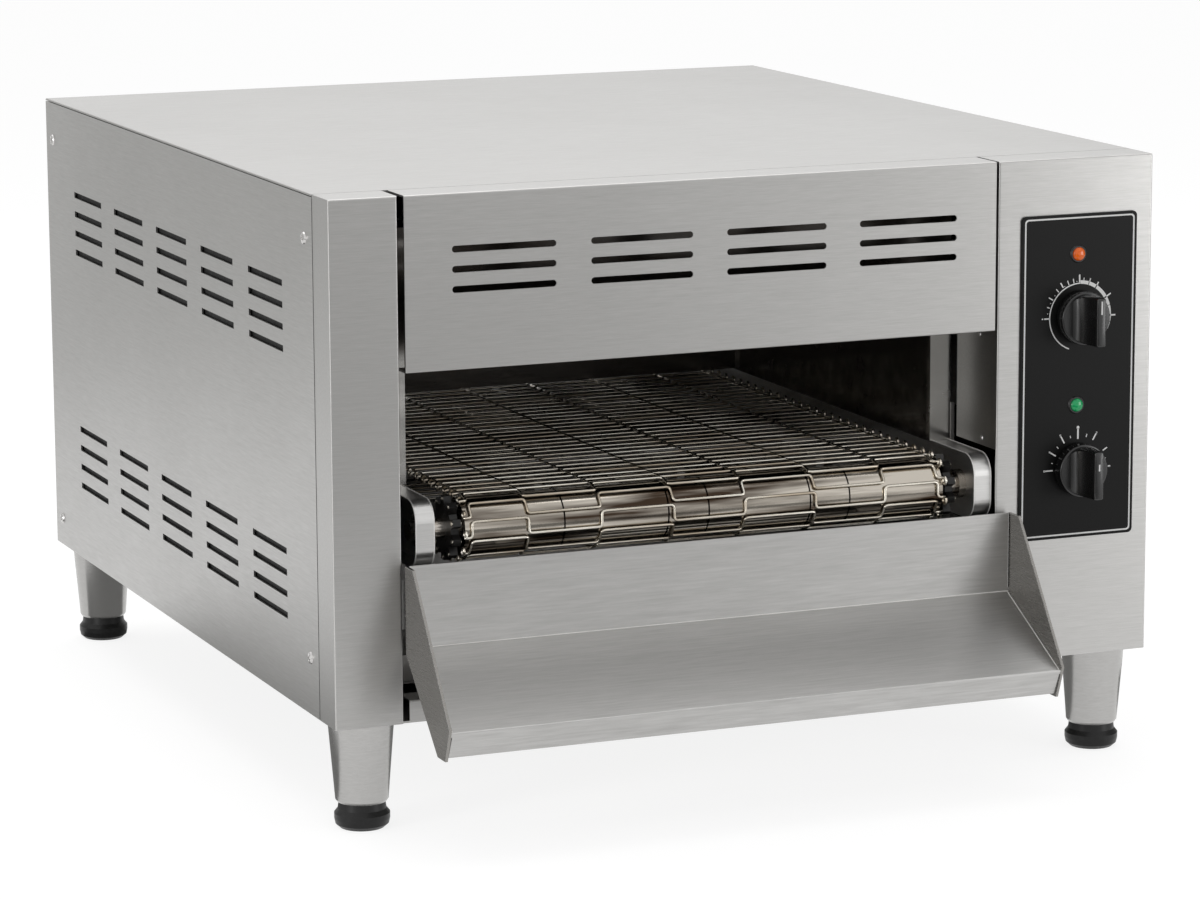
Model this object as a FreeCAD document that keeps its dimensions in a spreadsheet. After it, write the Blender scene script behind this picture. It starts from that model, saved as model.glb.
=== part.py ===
"""Conveyor toaster: a stainless casing on four legs, a wire belt that runs through a heated
chamber from the back to the front, and a collecting tray hooked on below the front mouth.

Frame: millimetres, +X to the right of a person facing the front, -Y towards that person,
+Z up. The origin is on the floor, under the middle of the whole toaster.
"""
import FreeCAD, Part
import math
import os
import re

import Sketcher
from FreeCAD import Vector

doc = FreeCAD.newDocument("ConveyorToaster")

# Driving dimensions, in millimetres, degrees and whole numbers
SIZES = [
    # Casing
    ("body_width", 540, "casing, side to side"),
    ("body_depth", 600, "casing, front to back"),
    ("body_height", 314, "casing, base to top"),
    ("leg_height", 66, "floor to the casing's base"),
    ("sheet", 1.2, "thickness of the casing's steel sheet"),
    ("bend_radius", 1, "outside of the casing's and the tray's folds"),
    ("seam", 0.6, "gap between neighbouring covers"),
    ("seat_gap", 0.3, "gap between pieces that rest on each other but move"),
    ("left_post_width", 42.5, "front post left of the mouth"),
    ("right_post_width", 106.7, "front post that carries the controls"),
    ("strip_depth", 28, "how far the front pieces wrap round the corners"),
    ("mouth_return", 54, "depth of the posts' folds beside the mouth"),
    ("mouth_sill", 135, "height of the lower edge of those folds"),
    ("hood_height", 104.5, "hood over the mouth"),
    ("hood_gap_left", 4, "gap between the left post and the hood"),
    ("hood_gap_right", 1.8, "gap between the hood and the right post"),
    ("hood_lip", 15, "fold along the hood's lower edge"),
    ("crossbar_height", 13.9, "bar across the bottom of the front"),
    ("crossbar_depth", 18, "fold of that bar"),
    ("base_flange", 20, "height of the base pan's side flanges"),
    ("cover_flange", 12, "depth of the top cover's side flanges"),
    ("upright_leg", 28, "width of the corner angles' legs"),
    ("upright_sheet", 1.5, "thickness of the corner angles"),
    # Vents
    ("hood_slot_length", 65.5, "vent in the hood"),
    ("hood_slot_height", 4, "vent in the hood"),
    ("hood_slot_columns", 4, "vents side by side"),
    ("hood_slot_rows", 3, "vents above each other"),
    ("hood_slot_rise", 11.9, "above each other"),
    ("hood_slot_left", 29.5, "hood's left edge to the first vent"),
    ("hood_slot_right", 26.9, "last vent to the hood's right edge"),
    ("hood_slot_low", 45.7, "hood's lower edge to the first vent"),
    ("side_slot_length", 65, "vent in a side panel"),
    ("side_slot_height", 4, "vent in a side panel"),
    ("side_slot_columns", 5, "vents side by side"),
    ("side_slot_rows", 4, "vents above each other in a group"),
    ("side_slot_pitch", 95.6, "side by side"),
    ("side_slot_rise", 13.2, "above each other"),
    ("side_slot_front", 85.5, "casing's front to the first vent"),
    ("side_slot_low", 49.8, "base to the lower group"),
    ("side_slot_high", 212.6, "base to the upper group"),
    # Screws of the side panels
    ("screw_radius", 3.8, "head"),
    ("screw_head", 1.4, "how far the head stands proud"),
    ("screw_front", 43.5, "casing's front to the front screws"),
    ("screw_back", 15.5, "casing's back to the rear screws"),
    ("screw_low_front", 34.7, "base to the lower front screw"),
    ("screw_low_back", 18.8, "base to the lower rear screw"),
    ("screw_high", 27.5, "top to the upper screws"),
    # Legs and feet
    ("leg_inset_side", 24, "casing's side to the leg's middle"),
    ("leg_inset_front", 24, "casing's front to the leg's middle"),
    ("leg_inset_back", 28, "casing's back to the leg's middle"),
    ("leg_top_radius", 20, "tapered leg at the casing"),
    ("leg_bottom_radius", 16, "tapered leg at its foot"),
    ("leg_wall", 1.5, "wall of the leg"),
    ("leg_plug", 9, "threaded plug in the leg's lower end"),
    ("foot_height", 16, "foot below the leg"),
    ("foot_radius", 16.75, "widest part of the foot"),
    ("foot_neck_radius", 14, "foot under the leg"),
    ("stud_radius", 5, "foot's stud"),
    ("stud_length", 32, "foot's stud above the foot"),
    ("running_gap", 0.06, "between a shaft and its bore, on the radius"),
    # Conveyor
    ("conveyor_shift", 27.5, "conveyor's middle, left of the casing's middle"),
    ("belt_pitch", 12, "one strand of the belt to the next"),
    ("belt_steps", 45, "strands between the two shafts"),
    ("strands_per_turn", 10, "strands that a full turn of a shaft carries"),
    ("wire", 1.8, "belt wire"),
    ("strand_gap", 0.6, "between neighbouring strands"),
    ("inner_lane", 47, "width of the belt's inner lanes"),
    ("inner_lanes", 5, "number of inner lanes"),
    ("outer_lane", 40.5, "width of the two outer lanes"),
    ("shaft_height", 111, "base to the shafts' axes"),
    ("shaft_inset", 24, "casing's front to the front shaft's axis"),
    ("shaft_radius", 6, "both shafts"),
    ("sleeve_joint", 1, "gap between the roller's sleeves"),
    ("sprocket_width", 5, "toothed rings at the belt's edges"),
    ("sprocket_gap", 2.5, "belt's edge to the toothed ring"),
    ("sprocket_root", 14.5, "radius between the teeth"),
    ("rail_width", 11.5, "side rail, across"),
    ("rail_height", 41, "side rail, upright"),
    ("rail_sheet", 1.5, "side rail's sheet"),
    ("rail_nose", 13, "radius of the rail's rounded ends"),
    ("rail_setback", 4, "casing's front to the rail's nose"),
    ("bracket_width", 30, "brackets that carry the rails and the chamber"),
    ("bracket_foot", 18, "their feet on the base pan"),
    ("bracket_lap", 24, "how far they reach up beside the chamber"),
    ("bush_radius", 9, "bearing bush through the rail"),
    ("bush_flange_radius", 12, "flange of that bush"),
    ("bush_flange", 2, "thickness of that flange"),
    ("bush_length", 8, "bearing bush, overall"),
    ("wear_bar_width", 5, "bars that the belt slides on"),
    ("wear_bar_height", 8, "bars that the belt slides on"),
    ("wear_bar_spacing", 94, "between those bars"),
    ("cross_tube_radius", 5, "tubes that carry those bars"),
    ("cross_tube_spacing", 240, "between those tubes"),
    # Toasting chamber
    ("chamber_width", 350, "between the chamber's walls"),
    ("chamber_front", 60, "casing's front to the chamber's walls"),
    ("chamber_depth", 290, "chamber, front to back, up to its heat flap"),
    ("wall_inset", 3, "side rail's inner face to the chamber wall"),
    ("chamber_high", 286, "base to the chamber's roof"),
    ("chamber_sheet", 1, "chamber's sheet"),
    ("element_radius", 4, "sheathed heating element"),
    ("upper_elements", 4, "number over the belt"),
    ("lower_elements", 3, "number under the belt's upper run"),
    ("upper_element_height", 240, "base to the upper elements"),
    ("lower_element_height", 107, "base to the lower elements"),
    ("element_reach", 22, "how far an element's end passes the chamber or the rail"),
    ("insulator_radius", 7, "ceramic collar"),
    ("insulator_length", 10, "ceramic collar"),
    ("flap_clearance", 1.5, "under the heat flap"),
    ("flap_pin_radius", 2.5, "heat flap's hinge pin"),
    ("flap_knuckle_radius", 5, "heat flap's rolled upper edge"),
    # Rear opening
    ("feed_height", 78, "rear feed opening, above the belt"),
    # Collecting tray
    ("tray_width", 399, "over the end plates"),
    ("tray_reach", 76, "in front of the casing"),
    ("tray_standoff", 4, "casing's front to the tray's back"),
    ("tray_top", 96, "base to the tray's upper edge"),
    ("tray_fold", 46.5, "base to the fold between the back and the shelf"),
    ("tray_lip_top", 11, "base to the lip's upper edge"),
    ("tray_lip_rake", 7.5, "how far the lip leans back"),
    ("tray_lip_drop", 16, "lip, upright"),
    ("tray_end_top", 13, "level stretch of the end plates' upper edge"),
    ("tray_end_back", 43, "base to the end plates' lower rear corner"),
    ("tray_end_toe", 12, "level stretch under the end plates' front"),
    ("tray_end_sheet", 1.5, "end plates"),
    ("tray_slit", 0.8, "open joint between the end plates and the shelf"),
    ("hook_width", 24, "hooks that carry the tray"),
    ("hook_spacing", 240, "between the two hooks"),
    ("hook_drop", 12, "how far the hooks reach down behind their bar"),
    ("hanger_top", 87, "base to the upper edge of the bar that carries the tray"),
    ("hanger_height", 30, "that bar"),
    ("hanger_sheet", 2, "that bar"),
    # Crumb tray
    ("crumb_width", 376, "crumb tray"),
    ("crumb_length", 560, "crumb tray"),
    ("crumb_rim", 16, "crumb tray's rim"),
    ("crumb_lift", 16, "base to the crumb tray's floor"),
    ("crumb_grip", 14, "grip that stands out behind the casing"),
    ("runner_width", 14, "runners under the crumb tray's edges"),
    # Controls
    ("panel_left", 15.6, "right post's left edge to the black plate"),
    ("panel_width", 79.9, "black plate"),
    ("panel_low", 75.8, "base to the black plate"),
    ("panel_height", 203.4, "black plate"),
    ("panel_sheet", 1.5, "black plate"),
    ("dial_inset", 50.5, "casing's right side to the dials' middles"),
    ("lamp_inset", 52.2, "casing's right side to the lamps' middles"),
    ("heat_dial_height", 215, "base to the heat dial's middle"),
    ("speed_dial_height", 119.3, "base to the speed dial's middle"),
    ("heat_lamp_height", 254.4, "base to the upper lamp"),
    ("speed_lamp_height", 159.8, "base to the lower lamp"),
    ("knob_radius", 16.6, "knob's skirt"),
    ("knob_skirt", 8.4, "depth of the skirt"),
    ("knob_edge", 0.6, "bevel round the skirt's rim"),
    ("knob_reach", 28.6, "panel to the front of the grip"),
    ("knob_grip_width", 7.6, "across the bar grip"),
    ("knob_gap", 0.6, "panel to the knob's back"),
    ("spindle_radius", 3, "control spindle"),
    ("spindle_hole", 3.6, "radius of the hole that it passes through"),
    ("control_body", 36, "heat regulator and speed controller, square"),
    ("control_depth", 30, "heat regulator and speed controller"),
    ("lamp_radius", 4.2, "lamp's lens"),
    ("lamp_bezel_radius", 5.6, "ring round the lens"),
    ("lamp_reach", 3, "how far the lens stands out"),
    # Drive
    ("gear_module", 1.5, "gear teeth"),
    ("gear_teeth", 36, "gear on the drive shaft"),
    ("pinion_teeth", 18, "pinion on the motor"),
    ("gear_width", 8, "both gears"),
    ("gear_play", 0.35, "free play between the teeth"),
    ("drive_gap", 4, "beside the gears"),
    ("motor_shaft_radius", 4, "gearmotor's output shaft"),
    ("motor_radius", 29, "gearmotor's can"),
    ("motor_clearance", 18.3, "gearmotor to the side panel"),
    ("gearbox_size", 66, "gearmotor's gearbox, square"),
    ("gearbox_depth", 22, "gearmotor's gearbox"),
    ("bracket_sheet", 2.5, "motor bracket"),
    # Mains entry
    ("terminal_width", 46, "terminal block"),
    ("terminal_depth", 24, "terminal block"),
    ("terminal_height", 22, "terminal block"),
    ("terminal_gap", 8, "terminal block to the rear panel"),
    ("gland_inset", 60, "casing's right side to the cable gland"),
    ("gland_height", 60, "base to the cable gland"),
    ("gland_thread_radius", 7.5, "cable gland's thread"),
    ("gland_radius", 11, "cable gland's nut"),
    ("gland_bore", 4.5, "radius of the gland's bore"),
    ("rear_reach", 16, "how far the gland and the tray's grip stand out at the back"),
]

# Places and sizes that follow from the driving dimensions, as formulas in their names
FOLLOWS = {
    "front": "((tray_reach - body_depth - rear_reach) / 2)",
    "back": "(front + body_depth)",
    "left": "(-body_width / 2)",
    "right": "(body_width / 2)",
    "base": "leg_height",
    "top": "(base + body_height)",
    "mouth_left": "(left + left_post_width)",
    "mouth_right": "(right - right_post_width)",
    "hood_left": "(mouth_left + hood_gap_left)",
    "hood_right": "(mouth_right - hood_gap_right)",
    "hood_low": "(top - hood_height)",
    "hood_slot_span": "(hood_right - hood_left - hood_slot_left - hood_slot_right)",
    "hood_slot_pitch": "((hood_slot_span - hood_slot_length) / (hood_slot_columns - 1))",
    "middle": "(-conveyor_shift)",
    "belt_half": "(inner_lanes * inner_lane / 2 + outer_lane)",
    "pitch_radius": "(belt_pitch / 2 / sin(180 / strands_per_turn))",
    "front_shaft": "(front + shaft_inset)",
    "rear_shaft": "(front_shaft + belt_steps * belt_pitch)",
    "shaft_level": "(base + shaft_height)",
    "upper_run": "(shaft_level + pitch_radius)",
    "belt_top": "(upper_run + wire / 2)",
    "crank": "(belt_pitch - wire - strand_gap)",
    "roller_radius": "(sqrt(pitch_radius ^ 2 - crank ^ 2 / 4) - wire / 2 - seat_gap)",
    "rail_spacing": "(chamber_width + 2 * wall_inset)",
    "rail_left": "(middle - rail_spacing / 2)",
    "rail_right": "(middle + rail_spacing / 2)",
    "rail_low": "(shaft_level - rail_height / 2)",
    "rail_high": "(shaft_level + rail_height / 2)",
    "rail_start": "(front + rail_setback)",
    "rail_end": "(rear_shaft + shaft_inset - rail_setback)",
    "wear_bar_top": "(upper_run - wire / 2 - seat_gap)",
    "wear_bar_low": "(wear_bar_top - wear_bar_height)",
    "cross_tube_level": "(wear_bar_low - cross_tube_radius)",
    "run_middle": "((front_shaft + rear_shaft) / 2)",
    "chamber_left": "(middle - chamber_width / 2)",
    "chamber_right": "(middle + chamber_width / 2)",
    "chamber_flange": "(wall_inset + rail_width)",
    "chamber_start": "(front + chamber_front)",
    "chamber_end": "(chamber_start + chamber_depth)",
    "tunnel_end": "(back - sheet - seat_gap)",
    "chamber_top": "(base + chamber_high)",
    "flap_pin_level": "(chamber_top - chamber_sheet - flap_knuckle_radius - seat_gap)",
    "flap_line": "(chamber_end + flap_knuckle_radius + seat_gap)",
    "flap_low": "(belt_top + flap_clearance)",
    "feed_high": "(belt_top + feed_height)",
    "tray_left": "(middle - tray_width / 2)",
    "tray_right": "(middle + tray_width / 2)",
    "tray_back": "(front - tray_standoff)",
    "tray_front": "(front - tray_reach + 1)",
    "hanger_high": "(base + hanger_top)",
    "hanger_front": "(front + sheet)",
    "crumb_left": "(middle - crumb_width / 2)",
    "crumb_right": "(middle + crumb_width / 2)",
    "crumb_floor": "(base + crumb_lift)",
    "crumb_end": "(back - sheet - seam)",
    "crumb_start": "(crumb_end - crumb_length)",
    "dial_place": "(right - dial_inset)",
    "lamp_place": "(right - lamp_inset)",
    "panel_face": "(front - panel_sheet)",
    "drive_place": "(rail_right + rail_width + drive_gap)",
    "bracket_place": "(drive_place + gear_width + drive_gap)",
    "gearbox_place": "(bracket_place + bracket_sheet)",
    "motor_place": "(gearbox_place + gearbox_depth)",
    "motor_length": "(right - sheet - motor_clearance - motor_place)",
    "gear_radius": "(gear_module * gear_teeth / 2)",
    "pinion_radius": "(gear_module * pinion_teeth / 2)",
    "motor_line": "(rear_shaft - gear_radius - pinion_radius)",
    "gland_place": "(right - gland_inset)",
    "gland_level": "(base + gland_height)",
}

sheet = doc.addObject("Spreadsheet::Sheet", "Sizes")
for row, (alias, number, meaning) in enumerate(SIZES, start=1):
    sheet.set("A%d" % row, alias)
    sheet.set("B%d" % row, str(number))
    sheet.set("C%d" % row, meaning)
    sheet.setAlias("B%d" % row, alias)
doc.recompute()

ALIASES = {alias for alias, number, meaning in SIZES}


def bound(formula):
    """The formula as the document's own expression, with every name led back to the sheet."""
    def lookup(found):
        name = found.group(0)
        if name in FOLLOWS:
            return "(" + bound(FOLLOWS[name]) + ")"
        return "Sizes." + name if name in ALIASES else name
    return re.sub(r"[a-z][a-z_0-9]*", lookup, str(formula))


def value(formula):
    """The number that a formula gives now."""
    return float(sheet.evalExpression(bound(formula)))


# Sketches and bodies

AXES = {"XY": 2, "XZ": 1, "YZ": 0}


def new_body(label):
    body = doc.addObject("PartDesign::Body", label)
    body.Label = label
    return body


def new_sketch(body, name, plane, start):
    """A sketch parallel to one of the body's own planes, at the given place along its normal."""
    sketch = body.newObject("Sketcher::SketchObject", name)
    support = [item for item in body.Origin.OriginFeatures if item.Role == plane + "_Plane"]
    sketch.AttachmentSupport = [(support[0], "")]
    sketch.MapMode = "FlatFace"
    sign = "-" if plane == "XZ" else ""
    sketch.setExpression("AttachmentOffset.Base.z", bound("%s(%s)" % (sign, start)))
    return sketch


def pin_corners(sketch, corners, first_line=0):
    """Hold the start of each line of a run at a place that the sheet gives."""
    for index, (across, up) in enumerate(corners):
        line = first_line + index
        for kind, formula in (("DistanceX", across), ("DistanceY", up)):
            number = sketch.addConstraint(
                Sketcher.Constraint(kind, -1, 1, line, 1, value(formula)))
            sketch.setExpression("Constraints[%d]" % number, bound(formula))


def draw_outline(sketch, corners):
    """A closed outline of straight edges through corners given as formulas."""
    points = [Vector(value(across), value(up), 0) for across, up in corners]
    count = len(points)
    for index in range(count):
        sketch.addGeometry(Part.LineSegment(points[index], points[(index + 1) % count]), False)
    for index in range(count):
        sketch.addConstraint(Sketcher.Constraint("Coincident", index, 2, (index + 1) % count, 1))
    pin_corners(sketch, corners)


def draw_fold(sketch, bends, thickness):
    """A folded strip of sheet. The bends give its outer face, and its thickness lies to the
    left of the way from the first bend to the last."""
    outer = [Vector(value(across), value(up), 0) for across, up in bends]
    thick = value(thickness)
    count = len(outer) - 1
    sides = []
    for index in range(count):
        along = (outer[index + 1] - outer[index]).normalize()
        sides.append(Vector(-along.y, along.x, 0))
    inner = [outer[0] + sides[0] * thick]
    for index in range(1, count):
        spread = 1 + sides[index - 1].dot(sides[index])
        inner.append(outer[index] + (sides[index - 1] + sides[index]) * (thick / spread))
    inner.append(outer[count] + sides[count - 1] * thick)
    ring = outer + inner[::-1]
    total = len(ring)
    for index in range(total):
        sketch.addGeometry(Part.LineSegment(ring[index], ring[(index + 1) % total]), False)
    for index in range(total):
        sketch.addConstraint(Sketcher.Constraint("Coincident", index, 2, (index + 1) % total, 1))
    pin_corners(sketch, bends)
    for index in range(count):
        facing = total - 2 - index
        sketch.addConstraint(Sketcher.Constraint("Parallel", facing, index))
        number = sketch.addConstraint(
            Sketcher.Constraint("Distance", facing, 1, index, thick))
        sketch.setExpression("Constraints[%d]" % number, bound(thickness))
    sketch.addConstraint(Sketcher.Constraint("Perpendicular", count, count - 1))
    sketch.addConstraint(Sketcher.Constraint("Perpendicular", total - 1, 0))


def pad(body, sketch, length):
    """Thicken a sketch towards +X, +Y or +Z."""
    feature = body.newObject("PartDesign::Pad", sketch.Name + "_pad")
    feature.Profile = sketch
    feature.setExpression("Length", bound(length))
    plane = [item.Role for item, part in sketch.AttachmentSupport][0]
    feature.Reversed = plane == "XZ_Plane"
    return feature


def add_slab(body, name, plane, corners, start, thickness):
    sketch = new_sketch(body, name, plane, start)
    draw_outline(sketch, corners)
    return pad(body, sketch, thickness)


def slab(label, plane, corners, start, thickness):
    body = new_body(label)
    add_slab(body, label + "_outline", plane, corners, start, thickness)
    return body


def add_fold(body, name, plane, bends, start, length, thickness="sheet"):
    sketch = new_sketch(body, name, plane, start)
    draw_fold(sketch, bends, thickness)
    return pad(body, sketch, length)


def folded(label, plane, bends, start, length, thickness="sheet"):
    body = new_body(label)
    add_fold(body, label + "_bends", plane, bends, start, length, thickness)
    return body


def rectangle(left, low, right, high):
    return [(left, low), (right, low), (right, high), (left, high)]


def cut_through(body, sketch):
    """Cut a sketch's outline right through its body."""
    doc.recompute()
    before = body.Shape.Volume
    feature = body.newObject("PartDesign::Pocket", sketch.Name + "_cut")
    feature.Profile = sketch
    feature.Type = 1
    feature.Midplane = True
    doc.recompute()
    if feature.Shape.Volume >= before:
        raise RuntimeError(sketch.Name + " cuts nothing")
    return feature


def draw_circles(sketch, circles):
    """Circles whose middles and radii are formulas."""
    for index, (across, up, radius) in enumerate(circles):
        middle = Vector(value(across), value(up), 0)
        sketch.addGeometry(Part.Circle(middle, Vector(0, 0, 1), value(radius)), False)
        for kind, formula in (("DistanceX", across), ("DistanceY", up)):
            number = sketch.addConstraint(
                Sketcher.Constraint(kind, -1, 1, index, 3, value(formula)))
            sketch.setExpression("Constraints[%d]" % number, bound(formula))
        number = sketch.addConstraint(Sketcher.Constraint("Radius", index, value(radius)))
        sketch.setExpression("Constraints[%d]" % number, bound(radius))


def drill(body, name, plane, circles):
    """Round holes right through a body."""
    sketch = new_sketch(body, name, plane, 0)
    draw_circles(sketch, circles)
    return cut_through(body, sketch)


def draw_slot(sketch, left, low, length, height):
    """A slot with full round ends."""
    x0, z0 = value(left), value(low)
    radius = value(height) / 2
    start = x0 + radius
    end = x0 + value(length) - radius
    upper = z0 + 2 * radius
    axis = Vector(0, 0, 1)
    quarter = math.pi / 2
    right_end = Part.Circle(Vector(end, z0 + radius, 0), axis, radius)
    left_end = Part.Circle(Vector(start, z0 + radius, 0), axis, radius)
    sketch.addGeometry(Part.LineSegment(Vector(start, z0, 0), Vector(end, z0, 0)), False)
    sketch.addGeometry(Part.ArcOfCircle(right_end, -quarter, quarter), False)
    sketch.addGeometry(Part.LineSegment(Vector(end, upper, 0), Vector(start, upper, 0)), False)
    sketch.addGeometry(Part.ArcOfCircle(left_end, quarter, 3 * quarter), False)
    sketch.addConstraint(Sketcher.Constraint("Tangent", 0, 2, 1, 1))
    sketch.addConstraint(Sketcher.Constraint("Tangent", 1, 2, 2, 1))
    sketch.addConstraint(Sketcher.Constraint("Tangent", 2, 2, 3, 1))
    sketch.addConstraint(Sketcher.Constraint("Tangent", 3, 2, 0, 1))
    sketch.addConstraint(Sketcher.Constraint("Horizontal", 0))
    places = (
        (1, "%s + %s - %s / 2" % (left, length, height), "%s + %s / 2" % (low, height)),
        (3, "%s + %s / 2" % (left, height), None),
    )
    for arc, across, up in places:
        for kind, formula in (("DistanceX", across), ("DistanceY", up)):
            if formula is None:
                continue
            number = sketch.addConstraint(
                Sketcher.Constraint(kind, -1, 1, arc, 3, value(formula)))
            sketch.setExpression("Constraints[%d]" % number, bound(formula))
    number = sketch.addConstraint(Sketcher.Constraint("Radius", 1, radius))
    sketch.setExpression("Constraints[%d]" % number, bound("%s / 2" % height))


def repeat_in_grid(body, cut, sketch, columns, pitch, rows, rise):
    """Repeat a cut side by side and above each other."""
    grid = body.newObject("PartDesign::MultiTransform", sketch.Name + "_grid")
    grid.Originals = [cut]
    steps = []
    for name, axis, number, distance in (("columns", "H_Axis", columns, pitch),
                                         ("rows", "V_Axis", rows, rise)):
        step = body.newObject("PartDesign::LinearPattern", sketch.Name + "_" + name)
        step.Direction = (sketch, [axis])
        step.setExpression("Occurrences", bound(number))
        step.setExpression("Length", bound("(%s - 1) * %s" % (number, distance)))
        steps.append(step)
    grid.Transformations = steps
    body.Tip = grid
    return grid


def cut_vents(body, name, plane, left, low, kind):
    """A group of vents cut through a cover. The hood's have round ends."""
    sketch = new_sketch(body, name, plane, 0)
    length = kind + "_slot_length"
    height = kind + "_slot_height"
    if kind == "hood":
        draw_slot(sketch, left, low, length, height)
    else:
        right = "%s + %s" % (left, length)
        draw_outline(sketch, rectangle(left, low, right, "%s + %s" % (low, height)))
    cut = cut_through(body, sketch)
    return repeat_in_grid(body, cut, sketch, kind + "_slot_columns", kind + "_slot_pitch",
                          kind + "_slot_rows", kind + "_slot_rise")


TURNS = {
    "up": FreeCAD.Rotation(),
    "right": FreeCAD.Rotation(Vector(0, 1, 0), 90),
    "left": FreeCAD.Rotation(Vector(0, 1, 0), -90),
    "forward": FreeCAD.Rotation(Vector(1, 0, 0), 90),
    "back": FreeCAD.Rotation(Vector(1, 0, 0), -90),
}


def place(item, x, y, z, aim="up"):
    """Aim an object's own +Z and put its origin at a place that the sheet gives."""
    item.Placement = FreeCAD.Placement(Vector(), TURNS[aim])
    for axis, formula in zip("xyz", (x, y, z)):
        item.setExpression("Placement.Base." + axis, bound(formula))
    return item


def turned(label, corners):
    """A piece turned on a lathe, from an outline of (radius, height) corners."""
    body = new_body(label)
    sketch = new_sketch(body, label + "_outline", "XZ", 0)
    draw_outline(sketch, corners)
    feature = body.newObject("PartDesign::Revolution", label + "_turn")
    feature.Profile = sketch
    feature.ReferenceAxis = (sketch, ["V_Axis"])
    feature.Angle = 360
    return body


def round_off(body, radius, wanted):
    """Fillet the edges of a body that the test picks."""
    doc.recompute()
    last = body.Tip
    names = ["Edge%d" % (number + 1) for number, edge in enumerate(last.Shape.Edges)
             if wanted(edge)]
    feature = body.newObject("PartDesign::Fillet", body.Label + "_rounds")
    feature.Base = (last, names)
    feature.setExpression("Radius", bound(radius))
    return feature


def is_along(edge, axis):
    """Whether an edge is straight and parallel to an axis."""
    if edge.Curve.TypeId != "Part::GeomLine":
        return False
    return abs(abs(edge.Curve.Direction.dot(axis)) - 1) < 1e-6


def round_folds(body, *folds):
    """Round the outer edges of folds. Each fold is the axis it runs along and the places it
    passes through across that axis."""
    axes = {"x": Vector(1, 0, 0), "y": Vector(0, 1, 0), "z": Vector(0, 0, 1)}

    def on_fold(edge):
        if not isinstance(getattr(edge, "Curve", None), (Part.Line, Part.LineSegment)):
            return False
        for along, spots in folds:
            gaps = [abs(getattr(edge.CenterOfMass, name) - value(place))
                    for name, place in spots.items()]
            if is_along(edge, axes[along]) and max(gaps) < 1e-3:
                return True
        return False

    round_off(body, "bend_radius", on_fold)


def box(label, x0, x1, y0, y1, z0, z1):
    """A plain block between places that the sheet gives."""
    item = doc.addObject("Part::Box", label)
    item.Label = label
    item.setExpression("Length", bound("(%s) - (%s)" % (x1, x0)))
    item.setExpression("Width", bound("(%s) - (%s)" % (y1, y0)))
    item.setExpression("Height", bound("(%s) - (%s)" % (z1, z0)))
    return place(item, x0, y0, z0)


def cylinder(label, radius, length, x, y, z, aim):
    item = doc.addObject("Part::Cylinder", label)
    item.Label = label
    item.setExpression("Radius", bound(radius))
    item.setExpression("Height", bound(length))
    return place(item, x, y, z, aim)


def join(label, items):
    item = doc.addObject("Part::MultiFuse", label)
    item.Label = label
    item.Shapes = items
    item.Refine = True
    return item


def subtract(label, base, tools):
    """One object less others."""
    tool = tools[0] if len(tools) == 1 else join(label + "_tools", tools)
    item = doc.addObject("Part::Cut", label)
    item.Label = label
    item.Base = base
    item.Tool = tool
    return item


def group(label, items):
    """Separate solids that share one node."""
    item = doc.addObject("Part::Compound", label)
    item.Label = label
    item.Links = items
    return item


pieces = []


def keep(item):
    """Count an object among the toaster's pieces."""
    pieces.append(item)
    return item


# Casing

def front_post(label, outer, inner, reach, low):
    """A front post: folded round the casing's corner, closed on top, with a fold along the
    mouth above the conveyor."""
    body = new_body(label)
    wrap = [(outer, "front + strip_depth"), (outer, "front"), (inner, "front")]
    if value(outer) > value(inner):
        wrap.reverse()
    add_fold(body, label + "_wrap", "XY", wrap, "base", "body_height")
    far, near = sorted((inner, "%s %s sheet" % (inner, "-" if value(inner) < 0 else "+")),
                       key=value)
    add_slab(body, label + "_return", "XY", rectangle(far, "front", near, "front + " + reach),
             low, "top - sheet - seat_gap - (%s)" % low)
    first, last = sorted((outer, inner), key=value)
    add_slab(body, label + "_cap", "XY", rectangle(first, "front", last, "front + strip_depth"),
             "top - sheet", "sheet")
    round_folds(body, ("z", {"x": outer, "y": "front"}), ("z", {"x": inner, "y": "front"}),
                ("x", {"y": "front", "z": "top"}), ("y", {"x": outer, "z": "top"}))
    return body


def front_post_left():
    keep(front_post("front_post_left", "left", "mouth_left", "mouth_return", "base + mouth_sill"))


def front_post_right():
    post = front_post("front_post_right", "right", "mouth_right", "mouth_return",
                      "base + mouth_sill")
    holes = [("dial_place", "base + heat_dial_height", "spindle_hole"),
             ("dial_place", "base + speed_dial_height", "spindle_hole"),
             ("lamp_place", "base + heat_lamp_height", "lamp_radius + seat_gap"),
             ("lamp_place", "base + speed_lamp_height", "lamp_radius + seat_gap")]
    drill(post, "control_holes", "XZ", holes)
    keep(post)


def front_hood():
    bends = [("front + strip_depth", "top"), ("front", "top"), ("front", "hood_low"),
             ("front + hood_lip", "hood_low")]
    hood = folded("front_hood", "YZ", bends, "hood_left", "hood_right - hood_left")
    round_folds(hood, ("x", {"y": "front", "z": "top"}), ("x", {"y": "front", "z": "hood_low"}))
    cut_vents(hood, "hood_vents", "XZ", "hood_left + hood_slot_left", "hood_low + hood_slot_low",
              "hood")
    keep(hood)


def front_crossbar():
    bends = [("front + crossbar_depth", "base + crossbar_height"),
             ("front + seam", "base + crossbar_height"),
             ("front + seam", "base + sheet")]
    bar = folded("front_crossbar", "YZ", bends, "hood_left", "hood_right - hood_left")
    round_folds(bar, ("x", {"y": "front + seam", "z": "base + crossbar_height"}))
    keep(bar)


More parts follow.
